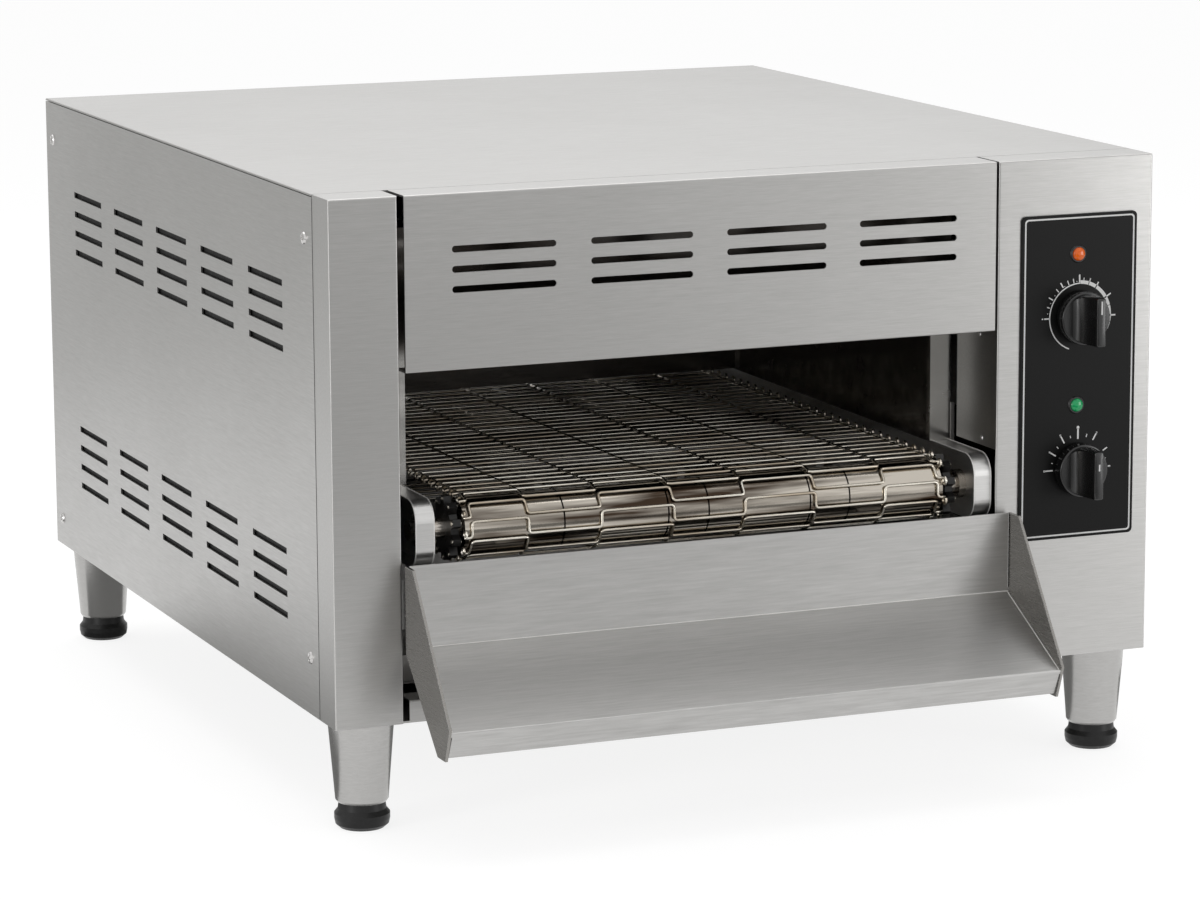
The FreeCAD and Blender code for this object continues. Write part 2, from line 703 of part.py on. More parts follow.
def side_panels():
    for side, wall in (("left", "left"), ("right", "right - sheet")):
        outline = rectangle("front + strip_depth + seam", "base", "back", "top - sheet - seam")
        panel = slab("side_panel_" + side, "YZ", outline, wall, "sheet")
        for height in ("low", "high"):
            cut_vents(panel, "%s_vents_%s" % (side, height), "YZ", "front + side_slot_front",
                      "base + side_slot_" + height, "side")
        keep(panel)


def top_cover():
    """A flat lid with short flanges that hang inside the side panels."""
    edge = "sheet + seam"
    bends = [("right - (%s)" % edge, "top - cover_flange"), ("right - (%s)" % edge, "top"),
             ("left + (%s)" % edge, "top"), ("left + (%s)" % edge, "top - cover_flange")]
    cover = folded("top_cover", "XZ", bends, "front + strip_depth + seam",
                   "body_depth - strip_depth - 2 * seam - sheet")
    add_slab(cover, "cover_overhang", "XY",
             rectangle("left", "front + strip_depth + seam", "right", "back"),
             "top - sheet", "sheet")
    round_folds(cover, ("y", {"x": "left", "z": "top"}), ("y", {"x": "right", "z": "top"}),
                ("x", {"y": "back", "z": "top"}))
    keep(cover)


def base_pan():
    """The casing's floor, folded up along both sides."""
    edge = "sheet + seat_gap"
    bends = [("left + (%s)" % edge, "base + base_flange"), ("left + (%s)" % edge, "base"),
             ("right - (%s)" % edge, "base"), ("right - (%s)" % edge, "base + base_flange")]
    keep(folded("base_pan", "XZ", bends, "front + sheet + seat_gap",
                "body_depth - 2 * sheet - 2 * seat_gap"))


def rear_panel():
    """The back wall, with the feed opening above and the crumb tray's slot below."""
    edge = "sheet + seam"
    outline = rectangle("left + (%s)" % edge, "base", "right - (%s)" % edge,
                        "top - sheet - seam")
    panel = slab("rear_panel", "XZ", outline, "back - sheet", "sheet")
    feed = new_sketch(panel, "feed_opening", "XZ", 0)
    draw_outline(feed, rectangle("rail_left - rail_width - seam", "rail_low - seam",
                                 "rail_right + rail_width + seam", "feed_high"))
    cut_through(panel, feed)
    slot = new_sketch(panel, "crumb_slot", "XZ", 0)
    draw_outline(slot, rectangle("crumb_left - seam", "crumb_floor - seam", "crumb_right + seam",
                                 "crumb_floor + crumb_rim + seam"))
    cut_through(panel, slot)
    drill(panel, "gland_hole", "XZ",
          [("gland_place", "gland_level", "gland_thread_radius + seat_gap")])
    keep(panel)


def frame_uprights():
    """Angle posts in the four corners, which the panels are screwed to."""
    items = []
    inset = "sheet + seat_gap"
    for side in ("left", "right"):
        for end in ("front", "back"):
            near = "left + " + inset if side == "left" else "right - (%s)" % inset
            far = "left + upright_leg" if side == "left" else "right - upright_leg"
            if end == "front":
                rows = ("front + strip_depth + seam", "front + strip_depth + seam + upright_leg")
            else:
                rows = ("back - (%s)" % inset, "back - upright_leg")
            bends = [(far, rows[0]), (near, rows[0]), (near, rows[1])]
            if (side == "left") == (end == "front"):
                bends.reverse()
            items.append(folded("upright_%s_%s" % (end, side), "XY", bends,
                                "base + base_flange", "body_height - base_flange - cover_flange",
                                "upright_sheet"))
    keep(group("frame_uprights", items))


def side_panel_screws():
    """Domed screw heads on both side panels."""
    corners = [(0, 0), ("screw_radius", 0), ("screw_radius", "screw_head * 0.35"),
               ("screw_radius * 0.62", "screw_head"), (0, "screw_head")]
    places = [("front + screw_front", "base + screw_low_front"),
              ("front + screw_front", "top - screw_high"),
              ("back - screw_back", "base + screw_low_back"),
              ("back - screw_back", "top - screw_high")]
    items = []
    for side in ("left", "right"):
        for number, (y, z) in enumerate(places, start=1):
            head = turned("screw_%s_%d" % (side, number), corners)
            items.append(place(head, side, y, z, side))
    keep(group("side_panel_screws", items))


# Legs

def corner_places():
    """The four corners' names and the middles of the legs there."""
    for end, y in (("front", "front + leg_inset_front"), ("back", "back - leg_inset_back")):
        for side, x in (("left", "left + leg_inset_side"), ("right", "right - leg_inset_side")):
            yield end + "_" + side, x, y


def legs_and_feet():
    """Tapered steel legs, and levelling feet whose studs run in the legs' plugs."""
    bore = "stud_radius + running_gap"
    leg = [(bore, "foot_height"), ("leg_bottom_radius - 1", "foot_height"),
           ("leg_bottom_radius", "foot_height + 1.5"), ("leg_top_radius", "leg_height"),
           ("leg_top_radius - leg_wall", "leg_height"),
           ("leg_bottom_radius - leg_wall", "foot_height + leg_plug"),
           (bore, "foot_height + leg_plug")]
    shoulder = "foot_height - seat_gap"
    foot = [(0, 0), ("foot_radius * 0.8", 0), ("foot_radius * 0.96", "foot_height * 0.15"),
            ("foot_radius", "foot_height * 0.35"), ("foot_radius", "foot_height * 0.55"),
            ("foot_neck_radius + 0.6", "foot_height * 0.72"), ("foot_neck_radius", shoulder),
            ("stud_radius", shoulder), ("stud_radius", shoulder + " + stud_length"),
            (0, shoulder + " + stud_length")]
    legs = []
    for corner, x, y in corner_places():
        legs.append(place(turned("leg_" + corner, leg), x, y, 0))
        keep(place(turned("foot_" + corner, foot), x, y, 0))
    keep(group("legs", legs))


# Conveyor

def side_rail(side, outward):
    """A rail folded like a tray: a web towards the belt and a rim that is open outwards."""
    face = "rail_" + side
    label = "conveyor_rail_" + side
    start = face if outward > 0 else face + " - rail_width"
    outer = slab(label + "_blank", "YZ",
                 rectangle("rail_start", "rail_low", "rail_end", "rail_high"), start, "rail_width")
    round_off(outer, "rail_nose", lambda edge: is_along(edge, Vector(1, 0, 0)))
    start = face + " + rail_sheet" if outward > 0 else face + " - rail_width - 1"
    inner = slab(label + "_recess", "YZ",
                 rectangle("rail_start + rail_sheet", "rail_low + rail_sheet",
                           "rail_end - rail_sheet", "rail_high - rail_sheet"),
                 start, "rail_width - rail_sheet + 1")
    round_off(inner, "rail_nose - rail_sheet", lambda edge: is_along(edge, Vector(1, 0, 0)))
    tools = [inner]
    holes = [("front_shaft", "shaft_level", "bush_radius + seat_gap / 3"),
             ("rear_shaft", "shaft_level", "bush_radius + seat_gap / 3")]
    holes += [(line, "base + lower_element_height", "element_radius + seat_gap")
              for line in element_lines("lower_elements")]
    for number, (line, level, radius) in enumerate(holes, start=1):
        tools.append(cylinder("%s_hole_%d" % (label, number), radius, "2 * rail_width",
                              face + " - rail_width", line, level, "right"))
    return subtract(label, outer, tools)


def element_lines(count):
    """Where the heating elements lie, spread evenly along the chamber."""
    number = int(value(count))
    return ["chamber_start + chamber_depth * %d / (2 * %s)" % (2 * index + 1, count)
            for index in range(number)]


def side_rails():
    keep(side_rail("left", -1))
    keep(side_rail("right", 1))


def bearing_bushes():
    """Flanged bushes in the rails' webs, with their flanges inside the rims."""
    bore = "shaft_radius + running_gap"
    corners = [(bore, 0), ("bush_radius", 0), ("bush_radius", "bush_length - bush_flange"),
               ("bush_flange_radius", "bush_length - bush_flange"),
               ("bush_flange_radius", "bush_length"), (bore, "bush_length")]
    inside = "bush_length - bush_flange - rail_sheet"
    items = []
    for end in ("front", "rear"):
        right = turned(end + "_bush_right", corners)
        place(right, "rail_right - (%s)" % inside, end + "_shaft", "shaft_level", "right")
        left = turned(end + "_bush_left", corners)
        place(left, "rail_left + (%s)" % inside, end + "_shaft", "shaft_level", "left")
        items += [left, right]
    keep(group("bearing_bushes", items))


def toothed_ring(label, teeth, root, tip, width, bore):
    """A ring with straight-sided teeth, standing along its own axis."""
    corners = []
    step = 2 * math.pi / teeth
    for number in range(teeth):
        for share, radius in ((-0.32, root), (-0.17, tip), (0.17, tip), (0.32, root)):
            angle = (number + share) * step
            corners.append(Vector(radius * math.cos(angle), radius * math.sin(angle), 0))
    blank = Part.Face(Part.makePolygon(corners + corners[:1]))
    hole = Part.Face(Part.Wire(Part.makeCircle(bore)))
    item = doc.addObject("Part::Feature", label)
    item.Label = label
    item.Shape = blank.cut(hole).extrude(Vector(0, 0, width))
    return item


def shaft_set(end, sleeves):
    """A shaft with its roller sleeves and the toothed rings beside the belt."""
    line = end + "_shaft"
    first = "rail_left - rail_width + 2"
    last = "rail_right + rail_width - 2" if end == "front" else "drive_place + gear_width + 1"
    name = "front_idler_shaft" if end == "front" else "rear_drive_shaft"
    keep(cylinder(name, "shaft_radius", "(%s) - (%s)" % (last, first), first, line,
                  "shaft_level", "right"))
    bore = "shaft_radius + running_gap / 2"
    items = []
    for number in range(len(sleeves) - 1):
        length = "(%s) - (%s) - sleeve_joint" % (sleeves[number + 1], sleeves[number])
        ring = [(bore, 0), ("roller_radius", 0), ("roller_radius", length), (bore, length)]
        sleeve = turned("%s_sleeve_%d" % (end, number + 1), ring)
        place(sleeve, "middle + %s + sleeve_joint / 2" % sleeves[number], line, "shaft_level",
              "right")
        items.append(sleeve)
    keep(group(end + "_roller_sleeves", items))
    rings = []
    for side, start in (("left", "middle - belt_half - sprocket_gap - sprocket_width"),
                        ("right", "middle + belt_half + sprocket_gap")):
        ring = toothed_ring("%s_ring_%s" % (end, side), int(value("strands_per_turn")),
                            value("sprocket_root"), value("pitch_radius"),
                            value("sprocket_width"), value(bore))
        rings.append(place(ring, start, line, "shaft_level", "right"))
    keep(group(end + "_sprockets", rings))


def shafts():
    """The front roller's sleeves meet at the middle of every second lane and beside two of the
    joints; the rear roller has one sleeve."""
    lane = "inner_lane"
    seams = ["-2 * " + lane, "-" + lane + " / 2 - 3", "0", "1.5 * " + lane + " - 3",
             "2 * " + lane]
    shaft_set("front", ["-belt_half"] + seams + ["belt_half"])
    shaft_set("rear", ["-belt_half", "belt_half"])


def strand_outline(ends, joints):
    """One belt strand seen from above: straight lengths that step forward by the crank at one
    joint and back at the next."""
    half = value("wire") / 2
    crank = value("crank")
    near_side = [(ends[0], -half)]
    far_side = [(ends[0], half)]
    for number, joint in enumerate(joints):
        up = number % 2 == 0
        here, there = (0, crank) if up else (crank, 0)
        lead = half if up else -half
        near_side += [(joint + lead, here - half), (joint + lead, there - half)]
        far_side += [(joint - lead, here + half), (joint - lead, there + half)]
    last = crank if len(joints) % 2 else 0
    near_side.append((ends[1], last - half))
    far_side.append((ends[1], last + half))
    return near_side + far_side[::-1]


def strand(joints):
    """The strand as a solid, its straight lengths along X and its cranks towards +Y."""
    half = value("wire") / 2
    ends = (-value("belt_half"), value("belt_half"))
    corners = [Vector(x, y, -half) for x, y in strand_outline(ends, joints)]
    face = Part.Face(Part.makePolygon(corners + corners[:1]))
    return face.extrude(Vector(0, 0, 2 * half))


def wire_belt():
    """Endless belt of cranked wire strands, each nested in the crank of the next. The strands
    of the upper run and of both turns have a crank at every joint. Those of the return run
    have two."""
    lane = value("inner_lane")
    lanes = int(value("inner_lanes"))
    joints = [(number - lanes / 2) * lane for number in range(lanes + 1)]
    full = strand(joints)
    plain = strand([joints[1], joints[-2]])
    steps = int(value("belt_steps"))
    turn = int(value("strands_per_turn"))
    pitch = value("belt_pitch")
    radius = value("pitch_radius")
    level = value("shaft_level")
    front, rear = value("front_shaft"), value("rear_shaft")
    spread = math.degrees(2 * math.asin(value("crank") / 2 / radius))
    stations = []
    for number in range(steps):
        stations.append((full, rear - number * pitch, level + radius, 180))
        stations.append((plain, front + number * pitch, level - radius, 0))
    for number in range(turn):
        angle = number * 360 / turn
        shaft = front if number < turn / 2 else rear
        y = shaft - radius * math.sin(math.radians(angle))
        z = level + radius * math.cos(math.radians(angle))
        stations.append((full, y, z, 180 + angle + spread / 2))
    solids = []
    for shape, y, z, tilt in stations:
        copy = shape.copy()
        copy.Placement = FreeCAD.Placement(Vector(value("middle"), y, z),
                                           FreeCAD.Rotation(Vector(1, 0, 0), tilt))
        solids.append(copy)
    belt = doc.addObject("Part::Feature", "wire_belt")
    belt.Label = "wire_belt"
    belt.Shape = Part.makeCompound(solids)
    keep(belt)


def belt_supports():
    """Bars that the upper run slides on, and the tubes between the rails that carry them."""
    bars = []
    for number in (-1, 0, 1):
        x = "middle + %d * wear_bar_spacing - wear_bar_width / 2" % number
        bars.append(box("wear_bar_%d" % (number + 2), x, x + " + wear_bar_width",
                        "front_shaft + pitch_radius + 6", "rear_shaft - pitch_radius - 6",
                        "wear_bar_low", "wear_bar_top"))
    keep(group("belt_wear_bars", bars))
    tubes = []
    for number, sign in ((1, "-"), (2, "+")):
        line = "run_middle %s cross_tube_spacing / 2" % sign
        tubes.append(cylinder("cross_tube_%d" % number, "cross_tube_radius", "rail_spacing",
                              "rail_left", line, "cross_tube_level", "right"))
    keep(group("cross_tubes", tubes))


def side_brackets():
    """Angle brackets on the base pan, outside the rails and the chamber, that carry both."""
    items = []
    rows = (("front", "chamber_start - seam"), ("back", "chamber_end + seam - bracket_width"))
    for end, start in rows:
        high = "rail_high + bracket_lap"
        face = "rail_left - rail_width"
        bends = [(face, high), (face, "base + sheet"), (face + " - bracket_foot", "base + sheet")]
        bends.reverse()
        items.append(folded("side_bracket_%s_left" % end, "XZ", bends, start, "bracket_width",
                            "bracket_sheet"))
        face = "rail_right + rail_width"
        bends = [(face, high), (face, "base + sheet"), (face + " + bracket_foot", "base + sheet")]
        items.append(folded("side_bracket_%s_right" % end, "XZ", bends, start, "bracket_width",
                            "bracket_sheet"))
    keep(group("side_brackets", items))


# Toasting chamber

def chamber_walls():
    """The tunnel's side walls, from the mouth to the rear panel. Each stands on its rail with
    a foot, and is folded outwards at both ends."""
    holes = [(line, "base + upper_element_height", "element_radius + seat_gap")
             for line in element_lines("upper_elements")]
    holes.append(("flap_line", "flap_pin_level", "flap_pin_radius + running_gap / 2"))
    for side, sign in (("left", "-"), ("right", "+")):
        face = "chamber_" + side
        edge = "%s %s chamber_flange" % (face, sign)
        bends = [(edge, "rail_high"), (face, "rail_high"), (face, "chamber_top")]
        if side == "right":
            bends.reverse()
        label = "chamber_wall_" + side
        wall = folded(label, "XZ", bends, "chamber_start", "tunnel_end - chamber_start",
                      "chamber_sheet")
        first, last = sorted((face, edge), key=value)
        for end, start in (("front", "chamber_start"), ("back", "tunnel_end - chamber_sheet")):
            add_slab(wall, "%s_%s_flange" % (label, end), "XZ",
                     rectangle(first, "rail_high", last, "chamber_top"), start, "chamber_sheet")
        drill(wall, "wall_holes_" + side, "YZ", holes)
        keep(wall)


def chamber_roof():
    """The reflector over the upper elements, with an apron in front that hides them. It
    covers the tunnel up to the rear panel."""
    bends = [("chamber_start", "hood_low + 6"), ("chamber_start", "chamber_top"),
             ("tunnel_end", "chamber_top")]
    keep(folded("chamber_roof", "YZ", bends, "chamber_left - chamber_flange",
                "chamber_width + 2 * chamber_flange", "chamber_sheet"))


def heating_elements(kind, first, last):
    """Sheathed rods across the conveyor, each held by a ceramic collar at both ends."""
    rods = []
    collars = []
    level = "base + %s_element_height" % kind
    bore = "element_radius + running_gap"
    corners = [(bore, 0), ("insulator_radius", 0), ("insulator_radius", "insulator_length"),
               (bore, "insulator_length")]
    for number, line in enumerate(element_lines(kind + "_elements"), start=1):
        name = "%s_element_%d" % (kind, number)
        rods.append(cylinder(name, "element_radius",
                             "(%s) - (%s) + 2 * element_reach" % (last, first),
                             "%s - element_reach" % first, line, level, "right"))
        right = turned(name + "_collar_right", corners)
        collars.append(place(right, last, line, level, "right"))
        left = turned(name + "_collar_left", corners)
        collars.append(place(left, first, line, level, "left"))
    keep(group(kind + "_heating_elements", rods))
    return collars


def heaters():
    upper = heating_elements("upper", "(chamber_left - chamber_sheet)",
                             "(chamber_right + chamber_sheet)")
    lower = heating_elements("lower", "(rail_left - rail_sheet)", "(rail_right + rail_sheet)")
    keep(group("element_collars", upper + lower))


def heat_flap():
    """A steel flap that hangs on a pin behind the chamber and swings as slices push past it."""
    margin = "chamber_sheet + 1"
    first = "chamber_left + (%s)" % margin
    length = "chamber_width - 2 * (%s)" % margin
    leaf = box("flap_leaf", first, "chamber_right - (%s)" % margin,
               "flap_line - chamber_sheet / 2", "flap_line + chamber_sheet / 2",
               "flap_low", "flap_pin_level")
    roll = cylinder("flap_roll", "flap_knuckle_radius", length, first, "flap_line",
                    "flap_pin_level", "right")
    bore = cylinder("flap_bore", "flap_pin_radius + running_gap", length + " + 2",
                    first + " - 1", "flap_line", "flap_pin_level", "right")
    keep(subtract("heat_flap", join("flap_rolled_leaf", [leaf, roll]), [bore]))
    pin = cylinder("flap_hinge_pin", "flap_pin_radius",
                   "chamber_width + 2 * chamber_flange", "chamber_left - chamber_flange",
                   "flap_line", "flap_pin_level", "right")
    ears = []
    for side, x in (("left", "chamber_left - chamber_sheet - bracket_sheet"),
                    ("right", "chamber_right + chamber_sheet")):
        ear = slab("flap_ear_" + side, "YZ",
                   rectangle("flap_line - flap_knuckle_radius",
                             "flap_pin_level - 2 * flap_knuckle_radius",
                             "flap_line + flap_knuckle_radius",
                             "flap_pin_level + flap_knuckle_radius"), x, "bracket_sheet")
        drill(ear, "ear_hole_" + side, "YZ",
              [("flap_line", "flap_pin_level", "flap_pin_radius + running_gap / 2")])
        ears.append(ear)
    keep(group("flap_hinge", ears + [pin]))


# Collecting tray

def tray_hanger():
    keep(box("tray_hanger_bar", "mouth_left - left_post_width / 2",
             "mouth_right + left_post_width / 2", "hanger_front", "hanger_front + hanger_sheet",
             "hanger_high - hanger_height", "hanger_high"))


def collecting_tray():
    """A scoop of folded sheet between two end plates, hooked over the bar behind it."""
    lip_low = "base + tray_lip_top - tray_lip_drop"
    bends = [("tray_back - sheet", "base + tray_top"), ("tray_back - sheet", "base + tray_fold"),
             ("tray_front", "base + tray_lip_top"), ("tray_front + tray_lip_rake", lip_low)]
    inner_left = "tray_left + tray_end_sheet"
    inner_right = "tray_right - tray_end_sheet"
    pan = folded("tray_pan", "YZ", bends, inner_left, "tray_width - 2 * tray_end_sheet")
    round_folds(pan, ("x", {"y": "tray_front", "z": "base + tray_lip_top"}))
    for number, sign in ((1, "-"), (2, "+")):
        start = "middle %s hook_spacing / 2 - hook_width / 2" % sign
        hook = [("tray_back", "hanger_high + seat_gap"),
                ("hanger_front + hanger_sheet + seat_gap", "hanger_high + seat_gap"),
                ("hanger_front + hanger_sheet + seat_gap", "hanger_high - hook_drop")]
        add_fold(pan, "tray_hook_%d" % number, "YZ", hook, start, "hook_width")
    for side, near, far in (("left", inner_left, inner_left + " + tray_slit"),
                            ("right", inner_right + " - tray_slit", inner_right)):
        back_slit = new_sketch(pan, "back_slit_" + side, "XZ", 0)
        draw_outline(back_slit, rectangle(near, "base + tray_fold + 2 * sheet", far,
                                          "base + tray_top + sheet"))
        cut_through(pan, back_slit)
        lip_slit = new_sketch(pan, "lip_slit_" + side, "XZ", 0)
        draw_outline(lip_slit, rectangle(near, lip_low + " - sheet", far,
                                         "base + tray_lip_top - 2 * sheet"))
        cut_through(pan, lip_slit)
    keep(pan)
    ends = []
    outline = [("tray_back", "base + tray_end_back"), ("tray_back", "base + tray_top"),
               ("tray_back - tray_end_top", "base + tray_top"),
               ("tray_front - 1", "base + tray_lip_top + 2"),
               ("tray_front - 1 + tray_lip_rake", lip_low + " - 2"),
               ("tray_front + tray_lip_rake + tray_end_toe", lip_low + " - 2")]
    for side, x in (("left", "tray_left"), ("right", inner_right)):
        keep(slab("tray_end_" + side, "YZ", outline, x, "tray_end_sheet"))


# Crumb tray

def crumb_tray():
    """A shallow pan under the belt that draws out through the back, on two runners."""
    rim = "crumb_floor + crumb_rim"
    bends = [("crumb_left", rim), ("crumb_left", "crumb_floor"), ("crumb_right", "crumb_floor"),
             ("crumb_right", rim)]
    pan = folded("crumb_tray", "XZ", bends, "crumb_start", "crumb_length")
    for name, start in (("front", "crumb_start"), ("back", "crumb_end - sheet")):
        add_slab(pan, "crumb_%s_rim" % name, "XZ",
                 rectangle("crumb_left", "crumb_floor", "crumb_right", rim), start, "sheet")
    add_slab(pan, "crumb_grip", "XY",
             rectangle("middle - crumb_width / 4", "crumb_end - sheet",
                       "middle + crumb_width / 4", "back + crumb_grip"),
             rim + " - sheet", "sheet")
    keep(pan)
    ledge = "crumb_floor - seat_gap"
    runners = []
    near = "crumb_left + seat_gap"
    bends = [(near + " + runner_width", ledge), (near, ledge), (near, "base + sheet")]
    runners.append(folded("runner_left", "XZ", bends, "crumb_start", "crumb_length"))
    near = "crumb_right - seat_gap"
    bends = [(near, "base + sheet"), (near, ledge), (near + " - runner_width", ledge)]
    runners.append(folded("runner_right", "XZ", bends, "crumb_start", "crumb_length"))
    keep(group("crumb_tray_runners", runners))


# Controls

def control_panel():
    plate = slab("control_panel_plate", "XZ",
                 rectangle("mouth_right + panel_left", "base + panel_low",
                           "mouth_right + panel_left + panel_width",
                           "base + panel_low + panel_height"), "panel_face", "panel_sheet")
    round_off(plate, "panel_sheet * 2", lambda edge: is_along(edge, Vector(0, 1, 0)))
    holes = [("dial_place", "base + heat_dial_height", "spindle_hole"),
             ("dial_place", "base + speed_dial_height", "spindle_hole"),
             ("lamp_place", "base + heat_lamp_height", "lamp_radius + seat_gap"),
             ("lamp_place", "base + speed_lamp_height", "lamp_radius + seat_gap")]
    drill(plate, "plate_holes", "XZ", holes)
    keep(plate)


def lamps():
    """Domed lenses through the plate, each in a thin ring."""
    depth = "sheet + panel_sheet + 8"
    lens = [(0, 0), ("lamp_radius", 0), ("lamp_radius", depth + " + lamp_reach * 0.4"),
            ("lamp_radius * 0.7", depth + " + lamp_reach * 0.85"), (0, depth + " + lamp_reach")]
    ring = [("lamp_radius + seat_gap / 3", 0), ("lamp_bezel_radius", 0),
            ("lamp_radius + seat_gap / 3 + 0.7", "lamp_reach / 3"),
            ("lamp_radius + seat_gap / 3", "lamp_reach / 3")]
    rings = []
    for kind, level in (("power", "base + heat_lamp_height"), ("heat", "base + speed_lamp_height")):
        keep(place(turned(kind + "_lamp_lens", lens), "lamp_place", "front + sheet + 8", level,
                   "forward"))
        rings.append(place(turned(kind + "_lamp_ring", ring), "lamp_place", "panel_face", level,
                           "forward"))
    keep(group("lamp_rings", rings))


def control(kind, level, housing_name):
    """A knob on its spindle, and the housing behind the post that the spindle turns in."""
    back = "(panel_face - knob_gap)"
    skirt = [("spindle_radius + running_gap / 2", 0), ("knob_radius", 0),
             ("knob_radius", "knob_skirt - knob_edge"), ("knob_radius - knob_edge", "knob_skirt"),
             (0, "knob_skirt"), (0, "knob_skirt - 1"),
             ("spindle_radius + running_gap / 2", "knob_skirt - 1")]
    disc = place(turned(kind + "_knob_skirt", skirt), "dial_place", back, level, "forward")
    drum = cylinder(kind + "_knob_drum", "knob_radius - 2 * knob_edge",
                    "knob_reach - knob_skirt - knob_gap", "dial_place", back + " - knob_skirt",
                    level, "forward")
    bar = box(kind + "_knob_bar", "dial_place - knob_grip_width / 2",
              "dial_place + knob_grip_width / 2", "panel_face - knob_reach",
              back + " - knob_skirt", level + " - knob_radius", level + " + knob_radius")
    grip = doc.addObject("Part::Common", kind + "_knob_grip")
    grip.Base = drum
    grip.Tool = bar
    keep(join(kind + "_knob", [disc, grip]))
    depth = "(front + sheet + control_depth * 0.6)"
    keep(cylinder(kind + "_spindle", "spindle_radius",
                  "%s - (%s - knob_skirt + 1)" % (depth, back), "dial_place", depth, level,
                  "forward"))
    block = box(housing_name + "_block", "dial_place - control_body / 2",
                "dial_place + control_body / 2", "front + sheet",
                "front + sheet + control_depth", level + " - control_body / 2",
                level + " + control_body / 2")
    hole = cylinder(housing_name + "_hole", "spindle_radius + running_gap",
                    "%s - front" % depth, "dial_place", depth, level, "forward")
    keep(subtract(housing_name, block, [hole]))


def controls():
    control("heat", "(base + heat_dial_height)", "heat_regulator_housing")
    control("speed", "(base + speed_dial_height)", "speed_controller_housing")


# Drive

def involute_gear(label, teeth, turn):
    """A spur gear with involute flanks, its axis along its own Z, turned by a share of a tooth."""
    module = value("gear_module")
    radius = module * teeth / 2
    pressure = math.radians(20)
    base_radius = radius * math.cos(pressure)
    root = radius - 1.15 * module
    tip = radius + 0.85 * module
    half_tooth = math.pi / (2 * teeth) - value("gear_play") / (4 * radius)

    def lean(at):
        """How far the flank has turned in, from the pitch circle to a radius."""
        if at <= base_radius:
            return math.tan(pressure) - pressure
        angle = math.acos(base_radius / at)
        return (math.tan(pressure) - pressure) - (math.tan(angle) - angle)

    corners = []
    for number in range(teeth):
        middle = (number + turn) * 2 * math.pi / teeth
        flank = [(at, half_tooth + lean(at)) for at in (root, max(root, base_radius), radius, tip)]
        for at, share in flank:
            corners.append((at, middle - share))
        for at, share in reversed(flank):
            corners.append((at, middle + share))
    points = []
    for at, angle in corners:
        point = Vector(at * math.cos(angle), at * math.sin(angle), 0)
        if not points or (point - points[-1]).Length > 1e-4:
            points.append(point)
    blank = Part.Face(Part.makePolygon(points + points[:1]))
    return blank


def gear_piece(label, teeth, turn, bore, line):
    blank = involute_gear(label, teeth, turn)
    hole = Part.Face(Part.Wire(Part.makeCircle(bore)))
    item = doc.addObject("Part::Feature", label)
    item.Label = label
    item.Shape = blank.cut(hole).extrude(Vector(0, 0, value("gear_width")))
    return place(item, "drive_place", line, "shaft_level", "right")


def drive():
    """A gearmotor on a bracket drives the rear shaft through a pinion and a gear. The pinion's
    middle lies in front of the gear's, and a gap of the one faces a tooth of the other."""
    slack = value("running_gap") / 2
    keep(gear_piece("drive_gear", int(value("gear_teeth")), 0.75 * value("gear_teeth"),
                    value("shaft_radius") + slack, "rear_shaft"))
    toothed = gear_piece("pinion_teeth_ring", int(value("pinion_teeth")),
                         0.25 * value("pinion_teeth") + 0.5,
                         value("motor_shaft_radius") + slack, "motor_line")
    shaft = cylinder("motor_shaft", "motor_shaft_radius",
                     "gear_width + drive_gap + bracket_sheet + gearbox_depth * 0.6",
                     "drive_place", "motor_line", "shaft_level", "right")
    keep(group("motor_pinion", [toothed, shaft]))
    half = "gearbox_size / 2"
    bends = [("bracket_place", "shaft_level + " + half), ("bracket_place", "base + sheet"),
             ("bracket_place + gearbox_size / 2", "base + sheet")]
    bracket = folded("motor_bracket", "XZ", bends, "motor_line - " + half, "gearbox_size",
                     "bracket_sheet")
    drill(bracket, "bracket_hole", "YZ",
          [("motor_line", "shaft_level", "motor_shaft_radius + 2")])
    keep(bracket)
    case = box("gearbox_case", "gearbox_place", "gearbox_place + gearbox_depth",
               "motor_line - " + half, "motor_line + " + half, "shaft_level - " + half,
               "shaft_level + " + half)
    hole = cylinder("gearbox_bore", "motor_shaft_radius + running_gap", "gearbox_depth * 0.7",
                    "gearbox_place", "motor_line", "shaft_level", "right")
    keep(subtract("gearbox", case, [hole]))
    keep(cylinder("drive_motor", "motor_radius", "motor_length", "motor_place", "motor_line",
                  "shaft_level", "right"))


# Mains entry

def mains_entry():
    keep(box("terminal_block", "gland_place - terminal_width / 2",
             "gland_place + terminal_width / 2", "back - sheet - terminal_gap - terminal_depth",
             "back - sheet - terminal_gap", "base + sheet", "base + sheet + terminal_height"))
    inside = "sheet + 6"
    outline = [("gland_bore", 0), ("gland_thread_radius", 0), ("gland_thread_radius", inside),
               ("gland_radius", inside), ("gland_radius", inside + " + rear_reach * 0.6"),
               ("gland_radius * 0.8", inside + " + rear_reach"),
               ("gland_bore", inside + " + rear_reach")]
    keep(place(turned("cable_gland", outline), "gland_place", "back - (%s)" % inside,
               "gland_level", "back"))


SECTIONS = (
    front_post_left, front_post_right, front_hood, front_crossbar, side_panels, top_cover,
    base_pan, rear_panel, frame_uprights, side_panel_screws, legs_and_feet, side_rails,
    bearing_bushes, shafts, wire_belt, belt_supports, side_brackets, chamber_walls,
    chamber_roof, heaters, heat_flap, tray_hanger, collecting_tray, crumb_tray, control_panel, lamps, controls, drive,
    mains_entry,
)

for section in SECTIONS:
    section()
doc.recompute()

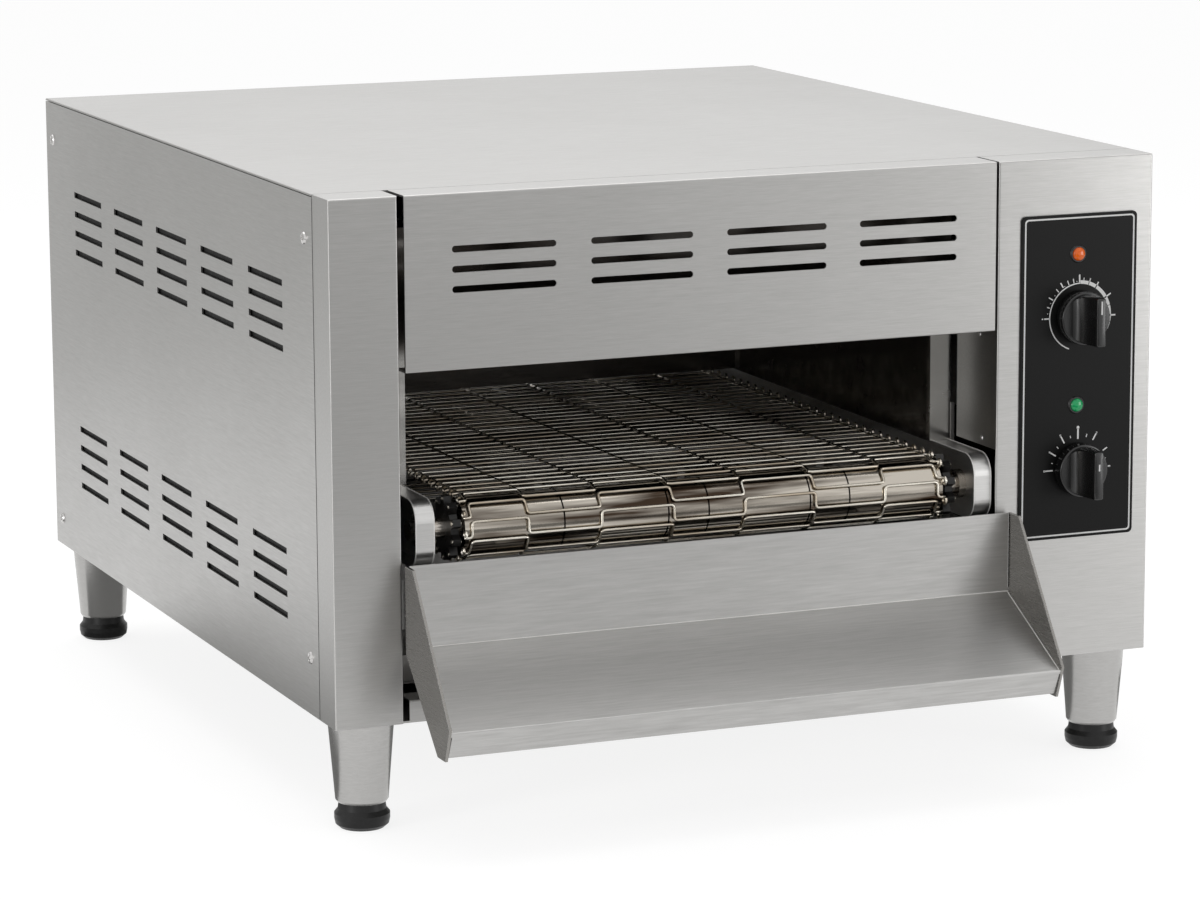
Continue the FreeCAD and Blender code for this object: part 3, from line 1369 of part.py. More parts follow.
faults = [item.Label for item in doc.Objects if "Invalid" in item.State or "Error" in item.State]
for piece in pieces:
    shape = piece.Shape
    if shape.isNull() or not shape.isValid() or not shape.Solids:
        faults.append(piece.Label)
if faults:
    raise RuntimeError("These objects failed: " + ", ".join(faults))

os.makedirs("parts", exist_ok=True)
for piece in pieces:
    piece.Shape.exportStep("parts/%s.step" % piece.Label)
print("%d pieces written" % len(pieces))
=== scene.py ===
import math

import bmesh
import bpy
from mathutils import Matrix, Vector


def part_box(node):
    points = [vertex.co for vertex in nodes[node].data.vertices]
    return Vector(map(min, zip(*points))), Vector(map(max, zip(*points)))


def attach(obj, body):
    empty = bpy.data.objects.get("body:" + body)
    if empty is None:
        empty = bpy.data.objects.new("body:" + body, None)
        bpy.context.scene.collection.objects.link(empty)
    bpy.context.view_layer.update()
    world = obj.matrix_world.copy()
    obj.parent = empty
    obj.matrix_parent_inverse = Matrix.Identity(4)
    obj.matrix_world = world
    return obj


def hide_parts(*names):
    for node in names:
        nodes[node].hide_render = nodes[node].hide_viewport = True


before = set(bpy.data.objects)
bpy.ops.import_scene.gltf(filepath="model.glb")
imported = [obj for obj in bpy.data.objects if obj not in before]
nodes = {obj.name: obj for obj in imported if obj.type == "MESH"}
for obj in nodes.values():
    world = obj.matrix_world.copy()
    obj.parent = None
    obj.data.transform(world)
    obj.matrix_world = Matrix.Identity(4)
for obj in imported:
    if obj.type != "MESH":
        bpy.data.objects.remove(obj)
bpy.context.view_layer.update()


# The place from which the photograph was taken: a long lens, left of the front and a little
# above the top cover.
viewpoint = (-1.10261, -2.69971, 0.71433)
swing, lift, roll = -0.390881, 0.185507, -0.0047041
back = Vector((math.sin(swing) * math.cos(lift), -math.cos(swing) * math.cos(lift), math.sin(lift)))
across = (-back).cross(Vector((0, 0, 1))).normalized()
upward = across.cross(-back)
columns = (
    math.cos(roll) * across + math.sin(roll) * upward,
    math.cos(roll) * upward - math.sin(roll) * across,
    back,
)
lens = bpy.data.cameras.new("photo_camera")
lens.lens = 134.84
lens.sensor_width = 36
camera = bpy.data.objects.new("photo_camera", lens)
bpy.context.scene.collection.objects.link(camera)
camera.matrix_world = Matrix.Translation(viewpoint) @ Matrix(columns).transposed().to_4x4()
bpy.context.scene.camera = camera


# The studio: a white floor that runs on behind the toaster, a broad soft light overhead and
# two smaller ones in front, with grey cards that show in reflections only.
def plain_material(name):
    material = bpy.data.materials.new(name)
    material.use_nodes = True
    tree = material.node_tree
    return material, tree, tree.nodes["Principled BSDF"]


def linked_object(name, data):
    thing = bpy.data.objects.new(name, data)
    bpy.context.scene.collection.objects.link(thing)
    return thing


def math_step(tree, operation, one, two):
    step = tree.nodes.new("ShaderNodeMath")
    step.operation = operation
    for socket, value in zip(step.inputs, (one, two)):
        if isinstance(value, (int, float)):
            socket.default_value = value
        else:
            tree.links.new(value, socket)
    return step.outputs[0]


def spread(tree, value, low, high, to_low=0, to_high=1):
    """Stretches the values from low to high over another span, and keeps them inside it."""
    step = tree.nodes.new("ShaderNodeMapRange")
    for name, amount in (("From Min", low), ("From Max", high),
                         ("To Min", to_low), ("To Max", to_high)):
        if isinstance(amount, (int, float)):
            step.inputs[name].default_value = amount
        else:
            tree.links.new(amount, step.inputs[name])
    tree.links.new(value, step.inputs["Value"])
    return step.outputs[0]


def seen_directly(tree):
    """1 for rays from the camera, and for those that metal and glass pass on."""
    path = tree.nodes.new("ShaderNodeLightPath").outputs
    passed = math_step(tree, "MAXIMUM", path["Is Glossy Ray"], path["Is Transmission Ray"])
    return math_step(tree, "MAXIMUM", path["Is Camera Ray"], passed)


def flat_sheet(name, corners):
    mesh = bpy.data.meshes.new(name)
    mesh.from_pydata(corners, [], [range(len(corners))])
    return linked_object(name, mesh)


floor = flat_sheet("studio_floor", [(-6, -6, 0), (6, -6, 0), (6, 6, 0), (-6, 6, 0)])
material, tree, shader = plain_material("white_floor")
shader.inputs["Base Color"].default_value = (0.25, 0.25, 0.25, 1)
shader.inputs["Roughness"].default_value = 0.9
shader.inputs["Specular IOR Level"].default_value = 0
glow = tree.nodes.new("ShaderNodeEmission")
floor_glow = 0.84
strength = math_step(tree, "MULTIPLY", seen_directly(tree), floor_glow)
tree.links.new(strength, glow.inputs["Strength"])
both = tree.nodes.new("ShaderNodeAddShader")
tree.links.new(shader.outputs[0], both.inputs[0])
tree.links.new(glow.outputs[0], both.inputs[1])
tree.links.new(both.outputs[0], tree.nodes["Material Output"].inputs["Surface"])
material.cycles.emission_sampling = "NONE"
floor.data.materials.append(material)

world = bpy.data.worlds.new("studio")
bpy.context.scene.world = world
world.use_nodes = True
tree = world.node_tree
room_light, white = 0.55, 1
strength = spread(tree, seen_directly(tree), 0, 1, room_light, white)
tree.links.new(strength, tree.nodes["Background"].inputs["Strength"])
tree.nodes["Background"].inputs["Color"].default_value = (1, 1, 1, 1)
world.cycles.sampling_method = "NONE"


def grey_card(name, shade, corners):
    """A card that darkens what smooth metal reflects. The camera and the light pass it by."""
    card = flat_sheet(name, corners)
    material, tree, shader = plain_material(name)
    glow = tree.nodes.new("ShaderNodeEmission")
    glow.inputs["Color"].default_value = (shade, shade, shade * 0.985, 1)
    tree.links.new(glow.outputs[0], tree.nodes["Material Output"].inputs["Surface"])
    material.cycles.emission_sampling = "NONE"
    card.data.materials.append(material)
    card.visible_camera = False
    card.visible_diffuse = False
    card.visible_shadow = False


grey_card("card_left", 0.6,
          [(-0.45, 1.25, 0), (-1.9, 0.75, 0), (-1.9, 0.75, 1.1), (-0.45, 1.25, 1.1)])
grey_card("card_front", 0.3,
          [(-1.3, -2.9, 0.004), (0.5, -2.9, 0.004), (0.5, -0.75, 0.004), (-1.3, -0.75, 0.004)])
grey_card("card_under", 0.25,
          [(-0.4, -0.21, 0.002), (0.4, -0.21, 0.002), (0.4, 0.3, 0.002), (-0.4, 0.3, 0.002)])
grey_card("card_right", 0.2,
          [(1.5, -0.8, 0), (1.5, 1.3, 0), (1.5, 1.3, 1.5), (1.5, -0.8, 1.5)])


def softbox(name, place, target, width, height, power):
    light = bpy.data.lights.new(name, "AREA")
    light.shape = "RECTANGLE"
    light.size = width
    light.size_y = height
    light.energy = power
    box = linked_object(name, light)
    box.location = place
    box.rotation_euler = (Vector(target) - Vector(place)).to_track_quat("-Z", "Y").to_euler()


softbox("overhead_light", (0.1, 0.5, 1.9), (0, 0, 0.3), 2.2, 2.2, 20)
softbox("right_front_light", (1.3, -1.4, 0.3), (0.1, -0.2, 0.2), 0.6, 0.55, 4)
softbox("left_light", (-1.7, -0.75, 0.5), (-0.27, -0.2, 0.15), 0.3, 0.9, 6)

bpy.context.scene.view_settings.view_transform = "Standard"


# Casing: stainless sheet, brushed in one direction before it is cut and folded. The grain of
# the front pieces and of the top runs from side to side and that of the sides from front to back.
def add_input(group, name, kind, value):
    socket = group.interface.new_socket(name, in_out="INPUT", socket_type=kind)
    socket.default_value = value


grain = bpy.data.node_groups.new("brushed_grain", "ShaderNodeTree")
add_input(grain, "Stretch", "NodeSocketVector", (1, 1, 1))
add_input(grain, "Light", "NodeSocketColor", (0.7, 0.7, 0.7, 1))
add_input(grain, "Dark", "NodeSocketColor", (0.5, 0.5, 0.5, 1))
add_input(grain, "Smooth", "NodeSocketFloat", 0.3)
add_input(grain, "Rough", "NodeSocketFloat", 0.4)
grain.interface.new_socket("Color", in_out="OUTPUT", socket_type="NodeSocketColor")
grain.interface.new_socket("Roughness", in_out="OUTPUT", socket_type="NodeSocketFloat")
grain.interface.new_socket("Height", in_out="OUTPUT", socket_type="NodeSocketFloat")
entry = grain.nodes.new("NodeGroupInput")
leave = grain.nodes.new("NodeGroupOutput")
place = grain.nodes.new("ShaderNodeTexCoord")


def noise(tree, place, scale, detail, roughness=0.5):
    """Noise over a place; the place may be drawn out in one direction first."""
    cloud = tree.nodes.new("ShaderNodeTexNoise")
    cloud.inputs["Scale"].default_value = scale
    cloud.inputs["Detail"].default_value = detail
    cloud.inputs["Roughness"].default_value = roughness
    tree.links.new(place, cloud.inputs["Vector"])
    return cloud.outputs["Fac"]


def blend_colours(tree, share, one, two):
    mix = tree.nodes.new("ShaderNodeMix")
    mix.data_type = "RGBA"
    tree.links.new(share, mix.inputs["Factor"])
    for name, colour in (("A", one), ("B", two)):
        if isinstance(colour, tuple):
            mix.inputs[name].default_value = (*colour, 1)
        else:
            tree.links.new(colour, mix.inputs[name])
    return mix.outputs["Result"]


drawn = grain.nodes.new("ShaderNodeVectorMath")
drawn.operation = "MULTIPLY"
grain.links.new(place.outputs["Object"], drawn.inputs[0])
grain.links.new(entry.outputs["Stretch"], drawn.inputs[1])
hairlines = noise(grain, drawn.outputs[0], 1, 4, 0.6)
dashes = noise(grain, drawn.outputs[0], 0.37, 2)
wiped = noise(grain, place.outputs["Object"], 6, 3)
fine = math_step(grain, "MULTIPLY", hairlines, 0.5)
longer = math_step(grain, "MULTIPLY", dashes, 0.25)
broad = math_step(grain, "MULTIPLY", wiped, 0.25)
summed = math_step(grain, "ADD", math_step(grain, "ADD", fine, longer), broad)
share = spread(grain, summed, 0.32, 0.68)
colour = blend_colours(grain, share, entry.outputs["Dark"], entry.outputs["Light"])
gloss = spread(grain, share, 0, 1, entry.outputs["Rough"], entry.outputs["Smooth"])
grain.links.new(colour, leave.inputs["Color"])
grain.links.new(gloss, leave.inputs["Roughness"])
grain.links.new(hairlines, leave.inputs["Height"])


def cross(tree, one, two):
    product = tree.nodes.new("ShaderNodeVectorMath")
    product.operation = "CROSS_PRODUCT"
    for socket, vector in zip(product.inputs, (one, two)):
        if isinstance(vector, tuple):
            socket.default_value = vector
        else:
            tree.links.new(vector, socket)
    return product.outputs[0]


def brushed_steel(name, stretch, light, dark, smooth, rough, depth, pull=0, runs=None):
    """Pull is how far the grain draws highlights out across itself. The grain runs in the given
    direction, or without one round an upright axis."""
    material, tree, shader = plain_material(name)
    shader.inputs["Metallic"].default_value = 1
    pattern = tree.nodes.new("ShaderNodeGroup")
    pattern.node_tree = grain
    pattern.inputs["Stretch"].default_value = stretch
    pattern.inputs["Light"].default_value = (*light, 1)
    pattern.inputs["Dark"].default_value = (*dark, 1)
    pattern.inputs["Smooth"].default_value = smooth
    pattern.inputs["Rough"].default_value = rough
    bump = tree.nodes.new("ShaderNodeBump")
    bump.inputs["Strength"].default_value = depth
    bump.inputs["Distance"].default_value = 0.0002
    tree.links.new(pattern.outputs["Color"], shader.inputs["Base Color"])
    tree.links.new(pattern.outputs["Roughness"], shader.inputs["Roughness"])
    tree.links.new(pattern.outputs["Height"], bump.inputs["Height"])
    tree.links.new(bump.outputs["Normal"], shader.inputs["Normal"])
    if pull:
        facing = tree.nodes.new("ShaderNodeNewGeometry").outputs["Normal"]
        along = runs or cross(tree, facing, (0, 0, 1))
        shader.inputs["Anisotropic"].default_value = pull
        tree.links.new(cross(tree, facing, along), shader.inputs["Tangent"])
    return material


MM = 0.001


def give(material, *names):
    """Puts the material on the solids of those names."""
    for name in names:
        nodes[name].data.materials.clear()
        nodes[name].data.materials.append(material)


def soften(width, *names):
    """Round the edges of sheet pieces by a hair, as deburred edges and bends are."""
    for name in names:
        edge = nodes[name].modifiers.new("deburred", "BEVEL")
        edge.width = width
        edge.segments = 2
        edge.limit_method = "ANGLE"
        edge.angle_limit = math.radians(40)
        edge.harden_normals = True


steel_light, steel_dark = (0.475, 0.47, 0.46), (0.385, 0.38, 0.37)
side_to_side = brushed_steel("steel_brushed_side_to_side", (70, 1500, 1500),
                             steel_light, steel_dark, 0.28, 0.37, 0.25,
                             pull=0.6, runs=(1, 0.03, 0))
front_to_back = brushed_steel("steel_brushed_front_to_back", (1500, 70, 1500),
                              steel_light, steel_dark, 0.28, 0.37, 0.2,
                              pull=0.6, runs=(0.03, 1, 0))
give(side_to_side, "front_post_left", "front_post_right", "front_hood", "front_crossbar",
     "rear_panel", "top_cover")
give(front_to_back, "side_panel_left", "side_panel_right", "base_pan")
mill_steel = brushed_steel("mill_finish_steel", (30, 30, 160),
                           (0.42, 0.41, 0.40), (0.32, 0.31, 0.30), 0.4, 0.55, 0.2)
give(mill_steel, "frame_uprights")
soften(0.5 * MM, "front_post_left", "front_post_right", "front_hood", "front_crossbar", "top_cover",
       "side_panel_left", "side_panel_right", "rear_panel")


# Rivets: two small dome heads of bright steel in the fold beside the mouth, closed from the
# belt's side.
def lathe(shape, profile, place, aim, sides):
    """Turns a profile of (radius, depth) about a line through the place along the aim."""
    turn = Vector(aim).to_track_quat("Z", "Y")
    rings = []
    angles = [number * math.tau / sides for number in range(sides)]
    for radius, depth in profile:
        rings.append([shape.verts.new(Vector(place) + turn @ Vector((
            radius * math.cos(angle), radius * math.sin(angle), depth))) for angle in angles])
    for one, two in zip(rings, rings[1:]):
        for number in range(sides):
            following = (number + 1) % sides
            face = shape.faces.new((one[number], one[following], two[following], two[number]))
            face.smooth = True


def finished(shape, name, material):
    """The shape as an object of that name and material."""
    bmesh.ops.recalc_face_normals(shape, faces=shape.faces)
    mesh = bpy.data.meshes.new(name)
    shape.to_mesh(mesh)
    shape.free()
    mesh.materials.append(material)
    return linked_object(name, mesh)


rivet_steel = brushed_steel("rivet_steel", (300, 300, 300),
                            (0.7, 0.69, 0.68), (0.55, 0.54, 0.53), 0.25, 0.35, 0.1)
rivet_radius, rivet_height = 1.6 * MM, 0.7 * MM
rivet_profile = [(rivet_radius * math.cos(rise), rivet_height * math.sin(rise))
                 for rise in (0, 0.4, 0.8, 1.2, 1.56)]
shape = bmesh.new()
for y, z in ((-248.7, 270.7), (-252.8, 206)):
    lathe(shape, rivet_profile, (162.1 * MM, y * MM, z * MM), (-1, 0, 0), 20)
rivets = finished(shape, "mouth_rivets", rivet_steel)
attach(rivets, "casing")


# Painted highlights: strips of pale steel along the front's upright corners and its upper fold,
# standing for the bright highlights that these folds catch.
def wire_curve(name, lines, thickness, material, rounds=2):
    """Round wires along the given lines."""
    curve = bpy.data.curves.new(name, "CURVE")
    curve.dimensions = "3D"
    curve.bevel_depth = thickness / 2
    curve.bevel_resolution = rounds
    curve.use_fill_caps = True
    for line in lines:
        spline = curve.splines.new("POLY")
        spline.points.add(len(line) - 1)
        for point, spot in zip(spline.points, line):
            point.co = (*spot, 1)
    curve.materials.append(material)
    return linked_object(name, curve)


# A pale steel for the painted highlights laid along edges and folds.
highlight_steel = brushed_steel("painted_edge_highlight", (60, 60, 60),
                           (0.86, 0.85, 0.83), (0.70, 0.69, 0.67), 0.45, 0.6, 0.1)
highlight_steel.node_tree.nodes["Principled BSDF"].inputs["Metallic"].default_value = 0.5
# The line lies this far inside the faces that meet at a fold, and stands out by a hair.
fold_inset, highlight_width = 0.54 * MM, 0.8 * MM
front, upper = -270 * MM + fold_inset, 380 * MM - fold_inset
lines = [[(x * MM, front, 66.5 * MM), (x * MM, front, 379.4 * MM)] for x in (-269.46, 269.46)]
lines += [[(start * MM, front, upper), (end * MM, front, upper)]
          for start, end in ((-269.4, -227.9), (-223.1, 161.1), (163.7, 269.4))]
highlight_strips = wire_curve("painted_highlight_front_edges", lines, highlight_width, highlight_steel, 1)
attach(highlight_strips, "casing")


# Painted shadows: near-black strips in the upright joints between the front posts and the side
# panels, standing for the shade in those seams.
# Near-black colour for the seams: painted shade.
seam_shade, tree, shader = plain_material("painted_seam_shade")
shader.inputs["Base Color"].default_value = (0.012, 0.012, 0.012, 1)
shader.inputs["Roughness"].default_value = 0.5
joint_y = -241.7 * MM
lines = [[(x * MM, joint_y, 66.5 * MM), (x * MM, joint_y, 377.5 * MM)] for x in (-269.75, 269.75)]
seam_shade_lines = wire_curve("painted_seam_shadows", lines, 0.9 * MM, seam_shade, 1)
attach(seam_shade_lines, "casing")


# Vent screens: fine black wire gauze behind the slots of both side panels, one strip to a row
# of vents, spot welded inside.
gauze = brushed_steel("black_gauze", (900, 900, 900),
                      (0.03, 0.03, 0.03), (0.008, 0.008, 0.008), 0.5, 0.7, 0.5)
gauze_mesh = bpy.data.meshes.new("vent_screens")
shape = bmesh.new()
for x in (-267.6, 267.6):
    for low, high in ((104, 180), (267, 343)):
        corners = ((-196, low), (276, low), (276, high), (-196, high))
        shape.faces.new([shape.verts.new((x * MM, y * MM, z * MM)) for y, z in corners])
bmesh.ops.bevel(shape, geom=shape.verts, offset=4 * MM, segments=3, affect="VERTICES")
bmesh.ops.solidify(shape, geom=shape.faces, thickness=0.5 * MM)
shape.to_mesh(gauze_mesh)
shape.free()
gauze_mesh.materials.append(gauze)
screens = linked_object("vent_screens", gauze_mesh)
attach(screens, "casing")


# Side panel screws: pan heads of bright steel with a pressed cross recess, four in each side
# panel.
screw_steel = brushed_steel("screw_steel", (300, 300, 300),
                            (0.62, 0.61, 0.60), (0.5, 0.49, 0.48), 0.16, 0.26, 0.1)
head_radius, head_height, arm_reach, arm_depth = 3.8 * MM, 1.4 * MM, 2.1 * MM, 0.8 * MM
RIM_SHARE, CROWN_FALL, RIM_SLOPE = 0.86, 0.45, 4.65
SPOKES, CROSS_TURN = 48, 0.4


def head_level(radius, angle):
    """How far a point of the head stands off the panel: a low dome with a steep rim, less the
    recess, whose arms widen towards the middle."""
    share = radius / head_radius
    if share < RIM_SHARE:
        level = head_height * (1 - CROWN_FALL * share ** 2)
    else:
        level = head_height * RIM_SLOPE * (1 - share)
    x, y = abs(radius * math.cos(angle)), abs(radius * math.sin(angle))
    across_arm, along_arm = min(x, y), max(x, y)
    arm_width = 0.42 * MM + 0.25 * max(0, 1.2 * MM - along_arm)
    if across_arm < arm_width and along_arm < arm_reach:
        level -= min(arm_depth, 0.9 * (arm_reach - along_arm) + 0.15 * MM)
    return level


def add_screw(shape, place, aim):
    """A head on the panel at the place; aim is -1 on the left panel and 1 on the right."""
    rings = []
    for number in range(1, 21):
        radius = head_radius * number / 20
        rings.append([shape.verts.new((
            place[0] + aim * head_level(radius, turn * math.tau / SPOKES),
            place[1] + radius * math.cos(turn * math.tau / SPOKES + CROSS_TURN),
            place[2] + radius * math.sin(turn * math.tau / SPOKES + CROSS_TURN),
        )) for turn in range(SPOKES)])
    tip = shape.verts.new((place[0] + aim * head_level(0, 0), place[1], place[2]))
    for turn in range(SPOKES):
        following = (turn + 1) % SPOKES
        shape.faces.new((tip, rings[0][turn], rings[0][following]))
        for inner, outer in zip(rings, rings[1:]):
            shape.faces.new((inner[turn], outer[turn], outer[following], inner[following]))


shape = bmesh.new()
for x, aim in ((-270 * MM, -1), (270 * MM, 1)):
    for y, z in ((-226.5, 100.7), (-226.5, 352.5), (314.5, 84.8), (314.5, 352.5)):
        add_screw(shape, (x, y * MM, z * MM), aim)
screws = finished(shape, "pan_head_screws", screw_steel)
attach(screws, "casing")
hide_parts("side_panel_screws")


# Legs and feet: tapered satin steel tubes with a screw-in plug, on black moulded feet that
# level the toaster.
turned_steel = brushed_steel("leg_steel", (250, 250, 2200),
                             (0.46, 0.455, 0.445), (0.40, 0.395, 0.385), 0.2, 0.27, 0.1)
give(turned_steel, "legs")


def speckled(name, colour, worn, smooth, rough, size, depth, gleam=0.5):
    """A finish with a fine texture. The colour is blended with that of the worn places."""
    material, tree, shader = plain_material(name)
    shader.inputs["Specular IOR Level"].default_value = gleam
    place = tree.nodes.new("ShaderNodeTexCoord").outputs["Object"]
    specks = noise(tree, place, size, 4)
    tree.links.new(blend_colours(tree, specks, colour, worn), shader.inputs["Base Color"])
    tree.links.new(spread(tree, specks, 0, 1, smooth, rough), shader.inputs["Roughness"])
    bump = tree.nodes.new("ShaderNodeBump")
    bump.inputs["Strength"].default_value = depth
    bump.inputs["Distance"].default_value = 0.2 * MM
    tree.links.new(specks, bump.inputs["Height"])
    tree.links.new(bump.outputs["Normal"], shader.inputs["Normal"])
    return material


foot_black = speckled("foot_moulding", (0.006, 0.006, 0.006), (0.02, 0.02, 0.02),
                      0.3, 0.45, 500, 0.2, gleam=0.3)
give(foot_black, "foot_front_left", "foot_front_right", "foot_back_left", "foot_back_right")


# Conveyor frame: two folded side rails with round noses, bushes, cross tubes, brackets and the
# bars that the belt slides on, all of bare steel, and the crumb tray under them. Painted
# highlights run along the rails' edges.
rail_steel = brushed_steel("rail_steel", (60, 60, 1500),
                           (0.64, 0.635, 0.625), (0.52, 0.515, 0.505), 0.32, 0.4, 0.15)
give(rail_steel, "conveyor_rail_left", "conveyor_rail_right")
give(mill_steel, "cross_tubes", "belt_wear_bars", "side_brackets", "crumb_tray_runners",
     "crumb_tray")
bronze = brushed_steel("oiled_sintered_bronze", (200, 200, 200),
                       (0.34, 0.31, 0.27), (0.24, 0.215, 0.185), 0.22, 0.34, 0.2)
give(bronze, "bearing_bushes")
soften(0.4 * MM, "conveyor_rail_left", "conveyor_rail_right")

nose_radius, rail_tip, rail_end = 13 * MM, -266 * MM, 300 * MM
rail_low, rail_high = 156.5 * MM, 197.5 * MM
ARC_STEPS = 8


def nose_line(x):
    """The rail's edge from the back to the front, round its nose and back under it."""
    line = [(x, rail_end, rail_high)]
    for level, start in ((rail_high - nose_radius, 0), (rail_low + nose_radius, 90)):
        for number in range(ARC_STEPS + 1):
            turn = math.radians(start + number * 90 / ARC_STEPS)
            line.append((x, rail_tip + nose_radius * (1 - math.sin(turn)),
                         level + nose_radius * math.cos(turn)))
    return line


# Painted highlights along each rail's upper and lower edges, round its nose.
lines = [nose_line(x * MM) for x in (-217, -205.5, 150.5, 162)]
highlight_strips = wire_curve("painted_highlight_rail_edges", lines, highlight_width, highlight_steel, 1)
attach(highlight_strips, "casing")


# Rollers: polished tubes that carry the belt between black toothed rings, tinted brown by the
# heat. They turn with their shafts.
flange_back, hood_edge = (-209 * MM, -204 * MM), (271.5 * MM, 279.5 * MM)


def heat_tinted(name, clean, browned, smooth, rough, stretch=(14, 60, 60), contrast=0.14,
                mouth=None):
    """Steel that the heat has browned in clouds. Given a mouth colour, it keeps that paler colour
    only where it faces the mouth, below the hood, and is painted darker as shade inside and behind
    the hood."""
    material, tree, shader = plain_material(name)
    shader.inputs["Metallic"].default_value = 1
    place = tree.nodes.new("ShaderNodeTexCoord").outputs["Object"]
    drawn = tree.nodes.new("ShaderNodeVectorMath")
    drawn.operation = "MULTIPLY"
    drawn.inputs[1].default_value = stretch
    tree.links.new(place, drawn.inputs[0])
    share = spread(tree, noise(tree, drawn.outputs[0], 1, 4), 0.5 - contrast, 0.5 + contrast)
    tint = blend_colours(tree, share, clean, browned)
    if mouth:
        # Painted shade: inside the tunnel and behind the hood the darker colours replace the mouth
        # colour.
        parts = tree.nodes.new("ShaderNodeSeparateXYZ")
        tree.links.new(place, parts.inputs[0])
        inside = spread(tree, parts.outputs["Y"], *flange_back)
        behind_hood = spread(tree, parts.outputs["Z"], *hood_edge)
        painted_shade_here = math_step(tree, "MAXIMUM", inside, behind_hood)
        tint = blend_colours(tree, painted_shade_here, mouth, tint)
    tree.links.new(tint, shader.inputs["Base Color"])
    tree.links.new(spread(tree, share, 0, 1, smooth, rough), shader.inputs["Roughness"])
    return material


sleeve_steel = heat_tinted("roller_steel", (0.52, 0.48, 0.42), (0.045, 0.03, 0.02), 0.1, 0.2,
                           stretch=(7, 95, 95), contrast=0.1)
give(sleeve_steel, "front_roller_sleeves", "rear_roller_sleeves")
shaft_steel = heat_tinted("shaft_steel", (0.62, 0.60, 0.57), (0.34, 0.28, 0.22), 0.2, 0.3)
give(shaft_steel, "front_idler_shaft", "rear_drive_shaft", "heat_spindle", "speed_spindle")
ring_black = speckled("blackened_ring", (0.003, 0.003, 0.003), (0.012, 0.011, 0.010),
                      0.22, 0.4, 260, 0.2, gleam=0.35)
give(ring_black, "front_sprockets", "rear_sprockets")
pin_steel = brushed_steel("pin_steel", (300, 300, 300),
                          (0.80, 0.76, 0.66), (0.62, 0.58, 0.50), 0.2, 0.3, 0.1)
front_shaft, rear_shaft, shaft_level = -246 * MM, 294 * MM, 177 * MM
RING_TEETH = 10
pin_circle, pin_width = 17.6 * MM, 2.4 * MM


def ring_pins(name, body, shaft):
    """Short bright pins across the gaps between the teeth of a shaft's two rings."""
    lines = []
    for start, end in ((-193.6, -187.6), (132.6, 138.6)):
        for number in range(RING_TEETH):
            angle = (number + 0.5) * math.tau / RING_TEETH
            y = shaft + pin_circle * math.cos(angle)
            z = shaft_level + pin_circle * math.sin(angle)
            lines.append([(start * MM, y, z), (end * MM, y, z)])
    pins = wire_curve(name, lines, pin_width, pin_steel)
    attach(pins, body)


ring_pins("front_ring_pins", "front_roller", front_shaft)
ring_pins("rear_ring_pins", "drive_roller", rear_shaft)


# Wire belt: strands of round stainless wire laid across the conveyor. Each strand steps forward
# and back by a crank at every lane joint and nests in the crank of the next strand.
pitch, straight_strands, turn_strands, wire = 12 * MM, 45, 10, 1.8 * MM
crank = pitch - wire - 0.6 * MM
belt_middle, half_width, stub = -27.5 * MM, 158 * MM, 4.5 * MM
bend, eye_radius = 2.2 * MM, 2.2 * MM
pitch_radius = pitch / 2 / math.sin(math.pi / turn_strands)
joints = [-half_width + stub] + [lane * MM for lane in (-117.5, -70.5, -23.5, 23.5, 70.5, 117.5)]
joints.append(half_width - stub)


def rounded_run(corners, radius, pieces):
    """The corners of a bent wire, each bend drawn as a short arc."""
    run = [corners[0]]
    for before, corner, after in zip(corners, corners[1:], corners[2:]):
        start = corner + (before - corner).normalized() * radius
        end = corner + (after - corner).normalized() * radius
        for number in range(pieces + 1):
            t = number / pieces
            run.append((1 - t) ** 2 * start + 2 * t * (1 - t) * corner + t ** 2 * end)
    run.append(corners[-1])
    return run


strand_corners = [Vector((-half_width, crank, 0))]
step = crank
for joint in joints:
    strand_corners.append(Vector((joint, step, 0)))
    step = crank - step
    strand_corners.append(Vector((joint, step, 0)))
strand_corners.append(Vector((half_width, step, 0)))
strand_run = rounded_run(strand_corners, bend, 3)


def eye(x, y, turn):
    """The small eye into which a strand's end is bent, 0.85 of a full turn in 8 steps."""
    angles = [number * math.tau * 0.85 / 8 for number in range(1, 9)]
    return [Vector((x, y + turn * eye_radius * (1 - math.cos(angle)), eye_radius * math.sin(angle)))
            for angle in angles]


strand_run = eye(-half_width, crank, -1)[::-1] + strand_run + eye(half_width, step, 1)

# Where each strand lies, and how far it is tipped about its own length.
stations = []
for number in range(straight_strands):
    stations.append((rear_shaft - number * pitch, shaft_level + pitch_radius, math.pi))
    stations.append((front_shaft + number * pitch, shaft_level - pitch_radius, 0))
lean = math.asin(crank / 2 / pitch_radius)
for number in range(turn_strands):
    angle = number * math.tau / turn_strands
    shaft = front_shaft if number < turn_strands / 2 else rear_shaft
    stations.append((shaft - pitch_radius * math.sin(angle),
                     shaft_level + pitch_radius * math.cos(angle), math.pi + angle + lean))
lines = []
for y, z, tilt in stations:
    lines.append([(belt_middle + spot.x, y + spot.y * math.cos(tilt) - spot.z * math.sin(tilt),
                   z + spot.y * math.sin(tilt) + spot.z * math.cos(tilt)) for spot in strand_run])
belt_steel = heat_tinted("belt_wire", (0.74, 0.71, 0.64), (0.42, 0.36, 0.28), 0.2, 0.32)
belt = wire_curve("belt_strands", lines, wire, belt_steel, 1)
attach(belt, "casing")
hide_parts("wire_belt")
